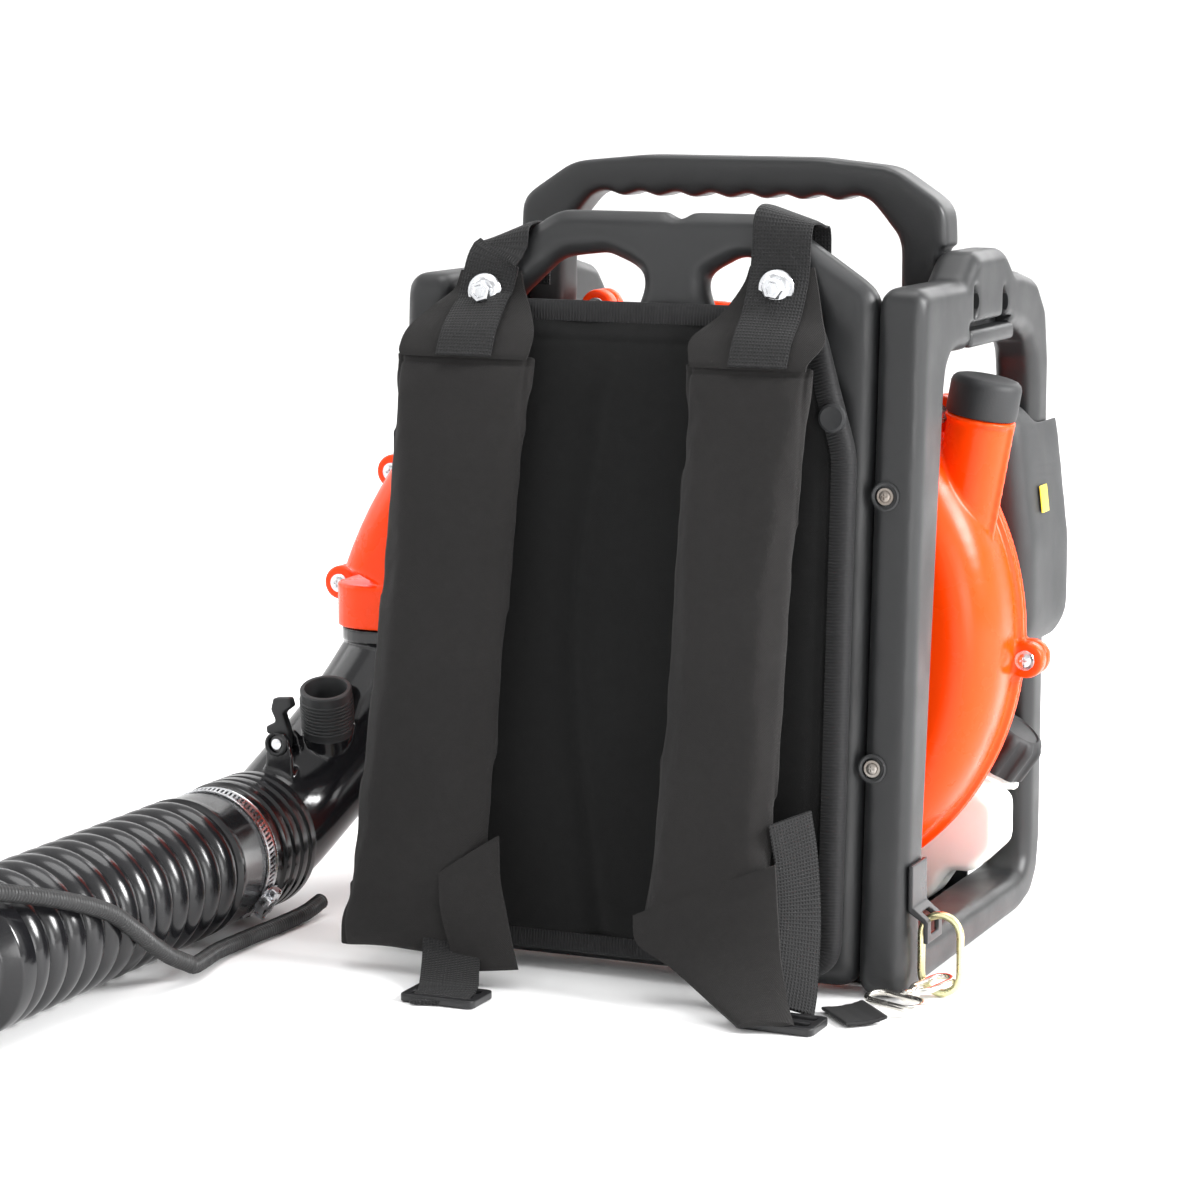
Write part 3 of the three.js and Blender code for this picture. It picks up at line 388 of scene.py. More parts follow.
def finished(piece, material=None):
    """Smooth shading, and the piece's only material if one is given."""
    piece.data.polygons.foreach_set("use_smooth", [True] * len(piece.data.polygons))
    if material is not None:
        piece.data.materials.clear()
        piece.data.materials.append(material)
    return piece


def softened(piece, voxel, rounds, material=None):
    """Rounds a shape off as a moulding is: remeshed to an even voxel in mm, and smoothed."""
    step = piece.modifiers.new("Remesh", "REMESH")
    step.mode = "VOXEL"
    step.voxel_size = voxel * MM
    step.use_smooth_shade = True
    return finished(eased(piece, rounds), material)


def copy_of(node, name):
    """A CAD node's mesh as a new piece."""
    mesh = frame["nodes"][node].data.copy()
    work = bmesh.new()
    work.from_mesh(mesh)
    bmesh.ops.remove_doubles(work, verts=work.verts, dist=1e-6)
    work.to_mesh(mesh)
    work.free()
    return link(name, mesh)


def stands_for(piece, node):
    """The piece takes a CAD node's place and body."""
    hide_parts(node)
    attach(piece, BODY_OF[node])
    return piece


def moulded(node, material, voxel, rounds):
    """A CAD node's own shape, softened into a moulding or casting."""
    return stands_for(softened(copy_of(node, node + "_moulded"), voxel, rounds, material), node)


def extra(piece, body=ROOT):
    """A piece that the CAD has no node for."""
    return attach(piece, body)


# ---- Finishes ----

class Finish:
    """A procedural material, built from textures in the object's own space."""

    def __init__(self, name, color, roughness, metallic=0.0, **sockets):
        self.material = bpy.data.materials.new(name)
        self.material.use_nodes = True
        self.tree = self.material.node_tree
        self.shader = self.tree.nodes["Principled BSDF"]
        self.color = color
        self.put("Base Color", (*color, 1))
        self.put("Roughness", roughness)
        self.put("Metallic", metallic)
        for socket, value in sockets.items():
            self.put(socket.replace("_", " "), value)
        self.space = self.tree.nodes.new("ShaderNodeTexCoord").outputs["Object"]
        self.normal = None
        self.tinted = None

    def put(self, socket, value):
        self.shader.inputs[socket].default_value = value

    def node(self, kind, **values):
        made = self.tree.nodes.new(kind)
        for name, value in values.items():
            if name in made.inputs:
                made.inputs[name].default_value = value
            else:
                setattr(made, name, value)
        return made

    def wire(self, source, target):
        self.tree.links.new(source, target)

    def stretched(self, stretch):
        scaled = self.node("ShaderNodeVectorMath", operation="MULTIPLY")
        self.wire(self.space, scaled.inputs[0])
        scaled.inputs[1].default_value = stretch
        return scaled.outputs[0]

    def noise(self, scale, detail, stretch=None):
        made = self.node("ShaderNodeTexNoise", Scale=scale, Detail=detail)
        self.wire(self.stretched(stretch) if stretch else self.space, made.inputs["Vector"])
        return made.outputs["Fac"]

    def math(self, operation, first, second=0.0):
        made = self.node("ShaderNodeMath", operation=operation)
        for value, socket in zip((first, second), made.inputs):
            if isinstance(value, (int, float)):
                socket.default_value = value
            else:
                self.wire(value, socket)
        return made.outputs[0]

    def spread(self, value, low, high, start=0.0, end=1.0):
        made = self.node("ShaderNodeMapRange")
        self.wire(value, made.inputs["Value"])
        for socket, number in zip(("From Min", "From Max", "To Min", "To Max"), (low, high, start, end)):
            made.inputs[socket].default_value = number
        return made.outputs["Result"]

    def tint(self, factor, other):
        """Mixes another colour in by a factor."""
        mix = self.node("ShaderNodeMix", data_type="RGBA")
        self.wire(factor, mix.inputs[0])
        if self.tinted is None:
            mix.inputs[6].default_value = (*self.color, 1)
        else:
            self.wire(self.tinted, mix.inputs[6])
        mix.inputs[7].default_value = (*other, 1)
        self.tinted = mix.outputs[2]
        self.wire(self.tinted, self.shader.inputs["Base Color"])
        return self

    def gloss(self, factor, low, high):
        self.wire(self.spread(factor, 0.3, 0.7, low, high), self.shader.inputs["Roughness"])
        return self

    def relief(self, height, depth):
        bump = self.node("ShaderNodeBump", Strength=1.0, Distance=depth)
        self.wire(height, bump.inputs["Height"])
        if self.normal is not None:
            self.wire(self.normal, bump.inputs["Normal"])
        self.normal = bump.outputs["Normal"]
        self.wire(self.normal, self.shader.inputs["Normal"])
        return self

    def worn(self, other, share=0.6):
        """Rubbed edges: another colour in patches wherever the surface is sharply convex."""
        edge = self.node("ShaderNodeNewGeometry").outputs["Pointiness"]
        patch = self.spread(self.noise(60, 4), 0.4, 0.7, 0.2, 1.0)
        factor = self.math("MULTIPLY", self.spread(edge, 0.53, 0.62, 0.0, share), patch)
        return self.tint(factor, other)

    def axis(self, name):
        split = self.node("ShaderNodeSeparateXYZ")
        self.wire(self.space, split.inputs[0])
        return split.outputs[name]

    def threads(self, along, pitch):
        """Ridges across a coordinate, one for each pitch in metres."""
        return self.math("SINE", self.math("MULTIPLY", along, 2 * math.pi / pitch))


def plastic(name, color, roughness, grain, scale, wave=0.0, wear=None, gloss=0.08, shine=0.4):
    """Moulded plastic or rubber: a fine grain, uneven gloss, and where asked a waved face and rubbed edges."""
    made = Finish(name, color, roughness)
    made.put("Specular IOR Level", shine)
    made.tint(made.spread(made.noise(7, 4), 0.35, 0.7, 0, 0.55), [c * 1.35 + 0.002 for c in color])
    made.gloss(made.noise(22, 5), roughness - gloss, roughness + gloss)
    if wave:
        made.relief(made.noise(16, 2), wave)
    made.relief(made.noise(scale, 2), grain)
    if wear:
        made.worn(wear)
    return made.material


def orange_plastic():
    """Glossy pigmented plastic with faint pale specks."""
    made = Finish("orange_case", (1.0, 0.058, 0.001), 0.3)
    made.put("Specular IOR Level", 0.22)
    made.tint(made.spread(made.noise(9, 5), 0.3, 0.75, 0, 0.6), (0.92, 0.046, 0.001))
    made.tint(made.spread(made.noise(260, 2), 0.7, 0.78, 0, 0.25), (0.8, 0.11, 0.02))
    made.gloss(made.noise(35, 6), 0.22, 0.36)
    made.relief(made.noise(14, 2), 0.0006)
    made.relief(made.noise(900, 2), 0.00002)
    made.worn((1.0, 0.22, 0.08), share=0.35)
    return made.material


def metal(name, color, roughness, other, grain=0.00003, scale=500):
    """Metal mottled with a second tone."""
    made = Finish(name, color, roughness, 1.0)
    made.tint(made.spread(made.noise(90, 5), 0.35, 0.7, 0, 0.8), other)
    made.gloss(made.noise(scale * 0.4, 4), roughness - 0.08, roughness + 0.14)
    made.relief(made.noise(scale, 3), grain)
    return made.material


def oxford(name, color, lift):
    """Plain weave of thick yarn, finer up the cloth than across it."""
    made = Finish(name, color, 0.85, Sheen_Weight=0.06, Sheen_Roughness=0.4)
    made.put("Specular IOR Level", 0.25)
    warp = made.threads(made.axis("X"), 1.15 * MM)
    weft = made.threads(made.axis("Z"), 0.95 * MM)
    cloth = made.math("MULTIPLY", warp, weft)
    slub = made.noise(420, 3, (1.0, 1.0, 7.0))
    made.tint(made.spread(cloth, -1, 1, 0, 0.6), [c * lift for c in color])
    made.tint(made.spread(slub, 0.45, 0.75, 0, 0.5), [c * lift * 1.15 for c in color])
    made.tint(made.spread(made.noise(9, 4), 0.35, 0.7, 0, 0.4), [c * 0.7 for c in color])
    made.relief(made.noise(60, 3), 0.0005)
    made.relief(slub, 0.00022)
    made.relief(cloth, 0.00016)
    return made.material


def ribbed(name, color, rib, line):
    """Webbing: ribs across the strap and finer lines along it, from its own weave coordinates."""
    made = Finish(name, color, 0.7, Sheen_Weight=0.05, Sheen_Roughness=0.4)
    made.put("Specular IOR Level", 0.3)
    split = made.node("ShaderNodeSeparateXYZ")
    made.wire(made.node("ShaderNodeAttribute", attribute_name="weave").outputs["Vector"], split.inputs[0])
    ribs = made.threads(split.outputs["Y"], rib)
    lines = made.threads(split.outputs["X"], line)
    grid = made.math("MAXIMUM", made.math("MULTIPLY", ribs, 0.9), made.math("MULTIPLY", lines, 0.7))
    made.tint(made.spread(grid, -0.6, 1, 0, 0.9), [c * 2.2 for c in color])
    made.tint(made.spread(made.noise(40, 4), 0.4, 0.7, 0, 0.4), [c * 1.4 for c in color])
    made.relief(grid, 0.00035)
    made.relief(made.noise(1500, 2), 0.00006)
    return made.material


def milky():
    """The translucent white plastic of the tank."""
    made = Finish("tank_white", (0.93, 0.93, 0.88), 0.38, Subsurface_Weight=0.25, Subsurface_Scale=0.004)
    made.put("Subsurface Radius", (1.0, 0.95, 0.8))
    made.tint(made.spread(made.noise(12, 4), 0.35, 0.7, 0, 0.5), (0.95, 0.94, 0.91))
    made.relief(made.noise(35, 3), 0.0005)
    made.relief(made.noise(1300, 2), 0.00005)
    return made.material


def foam_finish():
    made = Finish("filter_foam", (0.42, 0.38, 0.26), 0.95)
    made.tint(made.spread(made.noise(500, 3), 0.4, 0.65, 0, 1), (0.16, 0.14, 0.09))
    made.relief(made.noise(600, 3), 0.0008)
    return made.material


def label_finish():
    made = Finish("label_yellow", (0.93, 0.72, 0.03), 0.4)
    made.tint(made.spread(made.noise(40, 4), 0.4, 0.7, 0, 0.4), (0.86, 0.66, 0.05))
    made.relief(made.noise(800, 2), 0.00003)
    return made.material


def floor_finish():
    made = Finish("studio_floor", (0.97, 0.97, 0.97), 0.6)
    made.tint(made.spread(made.noise(2, 3), 0.3, 0.7, 0, 0.4), (0.98, 0.98, 0.98))
    return made.material


FRAME = plastic("frame_charcoal", (0.0135, 0.014, 0.0147), 0.42, 0.00005, 1100, wave=0.0011,
                wear=(0.06, 0.061, 0.064))
ORANGE = orange_plastic()
MATTE = plastic("matte_dark_grey", (0.018, 0.0187, 0.0197), 0.52, 0.00012, 1500, wear=(0.06, 0.06, 0.063))
RUBBER = plastic("soft_black_rubber", (0.014, 0.0145, 0.0155), 0.62, 0.00008, 900, gloss=0.1)
HOSE = plastic("hose_black", (0.007, 0.007, 0.008), 0.2, 0.00003, 700, wave=0.0005, gloss=0.06, shine=0.5)
GLOSS = plastic("gloss_black", (0.006, 0.006, 0.007), 0.15, 0.00002, 600, wave=0.0006, gloss=0.05, shine=0.5)
CLIP = plastic("buckle_black", (0.012, 0.012, 0.013), 0.35, 0.00004, 1200)
CONDUIT = plastic("conduit_grey", (0.018, 0.018, 0.0185), 0.42, 0.00004, 1300)
STEEL = metal("bright_steel", (0.72, 0.73, 0.75), 0.24, (0.5, 0.51, 0.53))
NICKEL = metal("nickel", (0.74, 0.72, 0.67), 0.18, (0.55, 0.53, 0.49))
ZINC = metal("yellow_zinc", (0.78, 0.66, 0.36), 0.26, (0.62, 0.7, 0.45))
ALLOY = metal("cast_alloy", (0.42, 0.43, 0.44), 0.45, (0.3, 0.31, 0.32), 0.00015, 700)
DARK_STEEL = metal("heat_dulled_steel", (0.34, 0.32, 0.3), 0.4, (0.2, 0.16, 0.13), 0.00006, 400)
NYLON = oxford("oxford_nylon", (0.0105, 0.0098, 0.0096), 1.9)
BACK_CLOTH = oxford("back_pad_cloth", (0.0018, 0.0019, 0.0019), 1.6)
WEBBING = ribbed("black_webbing", (0.005, 0.005, 0.0053), 2.3 * MM, 2.1 * MM)
BINDING = ribbed("ribbed_binding", (0.005, 0.005, 0.0054), 2.0 * MM, 30 * MM)
THREAD = plastic("sewing_thread", (0.025, 0.024, 0.023), 0.7, 0.00003, 2500)
TANK = milky()
FOAM = foam_finish()
LABEL = label_finish()


def studio():
    """A pale floor that curves up into a wall all round, far outside the object."""
    profile = [(0.001, 0), (5200, 0)]
    for i in range(1, 13):
        angle = i * math.pi / 24
        profile.append((5200 + 1600 * math.sin(angle), 1600 * (1 - math.cos(angle))))
    profile.append((6800, 3400))
    floor = lathe("studio_floor", profile, Vector((0, -0.3, 0)), Z, floor_finish(), 96, sharp=None)


# ---- Sizes that the CAD gives, in mm ----

LOOP_OUT = 175.6
LOOP_TOP = 435
REAR_TOP, REAR_BOTTOM = -132, -158
LEAN = math.atan2(REAR_TOP - REAR_BOTTOM, LOOP_TOP)
TILT = math.radians(1.53)
HOSE_X, HOSE_Z = -304, 48
TUBE_START = -440
SEAM, GAP = 20, 0.3
FAN_X, FAN_Z, FAN_RADIUS, FAN_GROWTH = 4, 201, 187.5, 82
CASE_REAR, CASE_FRONT, WALL, RIM = -45, 46, 3, 4
EARS = ((-4, 8), (47, 8), (71, 8), (118, 8), (162, 8), (179, 14))
OUTLET_LEFT, OUTLET_RIGHT, OUTLET_LOW, OUTLET_HIGH = -287, -203, 184, 214
SPOUT_FOOT, SPOUT_TOP = mm(152, -2, 244), mm(173.6, -2, 366)
SPOUT_UP = (SPOUT_TOP - SPOUT_FOOT).normalized()
NECK_FOOT, NECK_UP = mm(152, 71.5, 96), Vector((0.57, 0, 0.82)).normalized()
TOWARDS = Vector((0, -1, 0))


def lean(x, depth, height):
    """A point on the leaning rear of the frame: depth behind the face, height measured up it."""
    drop = height - LOOP_TOP
    y = depth * math.cos(LEAN) + drop * math.sin(LEAN) + REAR_TOP
    z = drop * math.cos(LEAN) - depth * math.sin(LEAN) + LOOP_TOP
    return mm(x, y, z)


def in_tube(x, y, z):
    """A point given in the rigid tube's own frame."""
    return mm(HOSE_X + x, TUBE_START + y * math.cos(TILT) - z * math.sin(TILT),
              HOSE_Z + y * math.sin(TILT) + z * math.cos(TILT))


TUBE_AXIS = (in_tube(0, -1, 0) - in_tube(0, 0, 0)).normalized()


# ---- Fasteners ----

def pan_screw(name, place, direction, radius=4.6, material=None):
    """Pan-head screw with a cross recess, on a thin washer."""
    material, r = material or STEEL, radius
    dome = [(r * a, r * b) for a, b in ((1, 0), (1.02, 0.12), (0.95, 0.34), (0.7, 0.52), (0.35, 0.6), (0, 0.62))]
    head = lathe(name, [(0, -4), (r * 0.5, -4), (r * 0.5, 0), *dome], Vector(), Z, material, 32)
    arm, deep = r * 0.56, r * 0.3
    cross = [block("arm", (-arm, -r * 0.13, deep), (arm, r * 0.13, r)),
             block("arm", (-r * 0.13, -arm, deep), (r * 0.13, arm, r))]
    cut(head, *cross)
    crisp(head)
    washer = lathe(name, [(r * 0.6, 0), (r * 1.45, 0), (r * 1.5, 0.35), (r * 1.45, 0.7), (r * 0.6, 0.7)],
                   Vector(), Z, material, 32, closed=True)
    head.data.transform(Matrix.Translation((0, 0, 0.6 * MM)))
    return moved(joined(name, [head, washer]), turning(direction), place)


def hex_bolt(name, place, direction, spin=0.0):
    """Flanged hex bolt over a wide washer."""
    def ring(radius, height):
        corners = [math.radians(60 * i) + spin for i in range(6)]
        return [mm(radius * math.cos(a), radius * math.sin(a), height) for a in corners]
    washer = [(0, 0), (11.2, 0), (11.6, 0.5), (11.2, 1.3), (8, 1.7), (0, 1.7)]
    flange = [(0, 1.5), (8.6, 1.5), (8.8, 2.1), (8.4, 2.6), (6.6, 3.4), (0, 3.4)]
    under = [lathe(name, profile, Vector(), Z, STEEL, 48) for profile in (washer, flange)]
    rings = [ring(7.2, 3), ring(7.2, 8), ring(6.3, 9), ring(4.4, 9), ring(3.9, 8.1)]
    head = build(name, [p for r in rings for p in r], rings_joined(len(rings), 6), STEEL, smooth=False)
    bevelled(head, 0.35, 2)
    return moved(joined(name, [*under, head]), turning(direction), place)


# ---- Frame ----

def recess(name, x, depth, height):
    """A dark collar with its screw, on the rear face of a loop."""
    out = lean(0, -1, 0) - lean(0, 0, 0)
    cup = lathe(name + "_cup", [(7.6, -1), (9, 0), (9, 0.8), (8, 1.3), (6.6, 0.6), (6.4, -1)],
                lean(x, depth, height), out, FRAME, 40, closed=True)
    screw = pan_screw(name, lean(x, depth, height), out, 3.6, DARK_STEEL)
    return [cup, screw]


def frame_parts():
    """The two loops with their round holes and slot, the other mouldings, and the leg screws."""
    for side, node in ((1, "side_frame_right"), (-1, "side_frame_left")):
        loop = softened(copy_of(node, node + "_moulded"), 1.8, 22, FRAME)
        holes = []
        for y, z in ((-30, 421), (30, 417)):
            hole = lathe("hole", [(0, -15), (6, -15), (6, 4), (0, 4)], Vector(), X * side, None, 40)
            hole.data.transform(Matrix.Diagonal((1, 1, 1.45, 1)))
            hole.data.transform(Matrix.Translation(mm(side * LOOP_OUT, y, z)))
            holes.append(hole)
        slot = block("slot", (-12, -43, -2.4), (12, 43, 2.4), centre=mm(side * LOOP_OUT, 2, 405.5))
        crisp(cut(loop, *holes, slot), 50)
        stands_for(loop, node)
        ledge = block(f"{node}_ledge", (-4, -44, -5.4), (4, 44, 5.4), FRAME, 3.0,
                      centre=mm(side * (LOOP_OUT - 3.2), 2, 398))
        extra(ledge)
    moulded("back_frame", FRAME, 1.9, 26)
    moulded("carry_handle", FRAME, 2.0, 40)
    moulded("base_tray", FRAME, 1.4, 3)
    screws = []
    for x, height in ((154.6, 309), (151.8, 142), (-154.6, 309), (-151.8, 142)):
        screws += recess(f"leg_screw_{x}_{height}", x, -0.2, height)
    extra(joined("frame_screws", screws))


# ---- Fan case ----

def case_radius(degrees):
    """Outer radius of the fan case, in mm, which grows towards the outlet."""
    grow = max(0.0, degrees - 30) / 132
    return FAN_RADIUS + FAN_GROWTH * grow * grow


def spiral(name, levels):
    """Body inside the case's spiral, from levels of (y, distance in from the outer wall)."""
    angles = range(-173, 176, 3)
    points = []
    for y, inset in levels:
        for degrees in angles:
            r = case_radius(degrees) - inset
            a = math.radians(degrees)
            points.append(mm(FAN_X + r * math.cos(a), y, FAN_Z + r * math.sin(a)))
    return build(name, points, rings_joined(len(levels), len(angles)))


def rounded(face, deep, inset, end, thin=0.0, steps=12):
    """Levels for a spiral with a rounded front edge, deep by inset in mm, at a wall's distance thin inside."""
    levels = []
    for i in range(steps + 1):
        turn = i * math.pi / 2 / steps
        levels.append((face + deep * (1 - math.cos(turn)), thin + inset * (1 - math.sin(turn))))
    return levels + [(end, thin)]


def duct(name, inset, low, high):
    """The case's outlet: an upright box with rounded corners, inset in mm from its outer wall."""
    left, right = OUTLET_LEFT + inset, OUTLET_RIGHT - inset
    rear, front = CASE_REAR + inset, CASE_FRONT - inset
    corners = ((right, front, -1, -1, 0), (left, front, 1, -1, 90), (left, rear, 1, 1, 180),
               (right, rear, -1, 1, 270))
    points = []
    for x, y, side, end, start in corners:
        corner = 24 if end < 0 else 32
        for i in range(9):
            a = math.radians(start + i * 11.25)
            points.append((x + side * corner + corner * math.cos(a), y + end * corner + corner * math.sin(a)))
    rings = [mm(x, y, z) for z in (low, high) for x, y in points]
    return build(name, rings, rings_joined(2, len(points)))


def ear_places():
    """Where the screw ears are round the rim, (x, z) in mm."""
    for degrees, out in EARS:
        r = case_radius(degrees) + out
        yield FAN_X + r * math.cos(math.radians(degrees)), FAN_Z + r * math.sin(math.radians(degrees))


def ears(low, high):
    """The round screw ears between two levels in y."""
    tall = high - low
    profile = [(0, 0), (10.8, 0), (12, 1.2), (12, tall - 1.2), (10.8, tall), (0, tall)]
    return [lathe("ear", profile, mm(x, low, z), Y, None, 32) for x, z in ear_places()]


def fan_case():
    """The two shells, each rounded over outside and hollowed to an even wall."""
    skin = spiral("fan_case_rear_moulded", rounded(CASE_REAR, 36, 30, SEAM))
    profile = [(0, 0), (20, 0), (21, 100), (23.2, 100.5), (23.2, 103), (21, 103.4), (18.4, 103.5), (18.4, 123.8),
               (0, 123.8)]
    collar = lathe("collar", profile, SPOUT_FOOT, SPOUT_UP, None, 48)
    lip = block("lip", (-1.6, -2.2, -48), (1.6, 2.2, 48), turn=turning(SPOUT_UP),
                centre=SPOUT_FOOT + SPOUT_UP * 0.052 + mm(21.6, 0, -3))
    rim = spiral("rim", [(SEAM - 5.5, -RIM + 1), (SEAM - 4.5, -RIM), (SEAM, -RIM)])
    lug = block("lug", (OUTLET_LEFT - 13, SEAM - 6, OUTLET_LOW), (OUTLET_LEFT + 2, SEAM, OUTLET_HIGH))
    united(skin, duct("duct", 0, OUTLET_LOW, OUTLET_HIGH), rim, lug, collar, lip, *ears(SEAM - 12, SEAM))
    hollow = spiral("hollow", rounded(CASE_REAR + WALL, 34, 28, 100, WALL))
    intake = lathe("intake", [(0, -60), (75, -60), (75, 20), (0, 20)], mm(FAN_X, -20, FAN_Z), Y, None, 96)
    bore = lathe("bore", [(0, -6), (15, -6), (15, 140), (0, 140)], SPOUT_FOOT, SPOUT_UP, None, 32)
    ahead = block("ahead", (-500, SEAM, -200), (500, 300, 700))
    cut(skin, hollow, intake, duct("mouth", WALL, 160, OUTLET_HIGH - 2), bore, ahead)
    stands_for(softened(skin, 1.4, 5, ORANGE), "fan_case_rear")

    start = SEAM + GAP
    front = spiral("fan_case_front_moulded", rounded(CASE_FRONT, -14, 14, start, steps=8))
    rim = spiral("rim", [(start, -RIM), (start + 4, -RIM), (start + 5, -RIM + 1)])
    lug = block("lug", (OUTLET_LEFT - 13, start, OUTLET_LOW), (OUTLET_LEFT + 2, start + 5, OUTLET_HIGH))
    united(front, duct("duct", 0, OUTLET_LOW, OUTLET_HIGH), rim, lug, *ears(start, start + 9))
    hollow = spiral("hollow", rounded(CASE_FRONT - WALL, -12, 12, -60, WALL, 8))
    shaft = lathe("shaft", [(0, -40), (14, -40), (14, 60), (0, 60)], mm(FAN_X, 40, FAN_Z), Y, None, 48)
    behind = block("behind", (-500, -300, -200), (500, start, 700))
    cut(front, hollow, shaft, duct("mouth", WALL, 160, OUTLET_HIGH - 2), behind)
    stands_for(softened(front, 1.4, 5, ORANGE), "fan_case_front")
    screws = [pan_screw("case_screw", mm(x, SEAM - 12, z), TOWARDS, 4.4) for x, z in ear_places()]
    extra(joined("case_screws", screws))


def spout_cap():
    """The rubber cap, given downwards from its top face."""
    top = SPOUT_TOP + SPOUT_UP * 5 * MM
    profile = [(0, 0.4), (14, 0.2), (18, 0), (20.4, 0.7), (22.2, 2.4), (23, 5), (23.1, 22), (22.8, 24.4),
               (22, 25), (19, 25), (19, 4.6), (0, 4.6)]
    cap = lathe("spout_cap_turned", [(r, -a) for r, a in profile], top, SPOUT_UP, RUBBER, 64)
    stands_for(cap, "spout_cap")


# ---- Air tube ----

ELBOW_ROUTE = [mm(-245, 1, 183.7), mm(-245, 1, 168), mm(-269, -24, 116), mm(-294, -60, 72),
               mm(HOSE_X, -99, HOSE_Z), mm(HOSE_X, -130, HOSE_Z), mm(HOSE_X, -165, HOSE_Z)]
STUB_FOOT, STUB_TOP = mm(-274, -58, 92), mm(-267, -76, 149)
LATCH = mm(-293, -88, 112)


def elbow():
    """The elbow with its gussets and port stub, and the latch beside the stub."""
    line = smooth_path(ELBOW_ROUTE, 12)
    body = tube("elbow_moulded", line, 40 * MM, sides=56)
    flange = duct("flange", 2, 174, 183.7)
    base = lathe("base", [(0, 8), (17.2, 8), (17.2, 34), (0, 34)], STUB_FOOT, STUB_TOP - STUB_FOOT, None, 40)
    outline = [(-14, -46), (13, -46), (11, -8), (8, 4), (4, 7.5), (-4, 7.5), (-7.5, 4), (-9, -10)]
    gusset = [build("gusset", [LATCH + mm(x, start + y, z) for y in (0, 5) for x, z in outline],
                    rings_joined(2, len(outline))) for start in (-9.5, 4.5)]
    united(body, flange, base, *gusset)
    far = line + [ELBOW_ROUTE[-1] + mm(0, -12, 0)]
    near = [ELBOW_ROUTE[0] + mm(0, 0, 12)] + far
    way = lathe("way", [(0, 0), (14, 0), (14, 90), (0, 90)], STUB_FOOT, STUB_TOP - STUB_FOOT, None, 40)
    cut(body, tube("inside", near, 36.5 * MM, sides=48), way)
    stands_for(softened(body, 1.3, 6, GLOSS), "elbow")

    rings = [(14.2, 26), (17.4, 26)]
    for i in range(9):
        foot = 30 + i * 2.6
        rings += [(17.5, foot), (18.2, foot + 1), (18.2, foot + 1.8), (17.5, foot + 2.4)]
    length = (STUB_TOP - STUB_FOOT).length / MM
    rings += [(17.6, length - 1), (16.8, length), (14.6, length), (14.2, length - 0.6)]
    stub = lathe("elbow_port", rings, STUB_FOOT, STUB_TOP - STUB_FOOT, MATTE, 64, closed=True)
    pin = lathe("latch_pin", [(0, 0), (3.6, 0), (3.6, 1.4), (2.5, 1.6), (2.5, 17.4), (3.6, 17.6), (3.6, 19),
                              (0, 19)], LATCH + mm(0, -10.5, 0), Y, STEEL, 32)
    bend = [math.radians(degrees) for degrees in range(-250, 31, 12)]
    round_pin = [LATCH + mm(7 * math.cos(a), -11, 7 * math.sin(a)) for a in bend]
    hook = tube("latch_clip", round_pin, 1.3 * MM, MATTE, 12)
    extra(stub)
    extra(joined("latch_pin_and_clip", [pin, hook]))
    moulded("latch_lever", MATTE, 0.8, 3)


RIB_START, RIB_PITCH = -207.0, 19.5


def rib(y):
    """Outer radius of the bellows, in mm, at a distance along the hose."""
    phase = ((RIB_START - y) / RIB_PITCH) % 1.0
    return 40.6 + 6.2 * math.sin(math.pi * phase) ** 0.55


def bellows_profile(start, end):
    """The bellows' wall as a closed profile between two places along the hose."""
    outer, count = [], round((start - end) / 0.75)
    for i in range(count + 1):
        y = start - (start - end) * i / count
        outer.append((rib(y), -y))
    inner = [(r - 2.6, a) for r, a in reversed(outer)]
    return outer + inner


def hose():
    base = mm(HOSE_X, 0, HOSE_Z)
    cuff = [(41, 106), (45.0, 106)]
    for centre in (111, 122, 133, 144):
        cuff += [(45.0, centre - 4.4), (46.4, centre - 3), (46.6, centre), (46.4, centre + 3),
                 (45.0, centre + 4.2), (44.4, centre + 5)]
    cuff += [(44.3, 152), (44.3, 176), (45.0, 178), (45.0, 196), (46.4, 199), (46.6, 204), (44, 206.4),
             (41.2, 207)]
    cuff += [p for p in bellows_profile(RIB_START, -252) if p[1] > 207.5]
    cuff += [(38, 205), (38, 172), (41, 172)]
    rear = lathe("bellows_rear_ribbed", cuff, base, TOWARDS, HOSE, 96, closed=True, sharp=40)
    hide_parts("bellows_rear")
    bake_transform(rear)
    middle = lathe("bellows_middle_ribbed", bellows_profile(-252, -330), base, TOWARDS, HOSE, 96,
                   closed=True, sharp=50)
    stands_for(middle, "bellows_middle")
    front = lathe("bellows_front_ribbed", bellows_profile(-330, TUBE_START), base, TOWARDS, HOSE, 96,
                  closed=True, sharp=50)
    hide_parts("bellows_front")
    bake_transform(front)


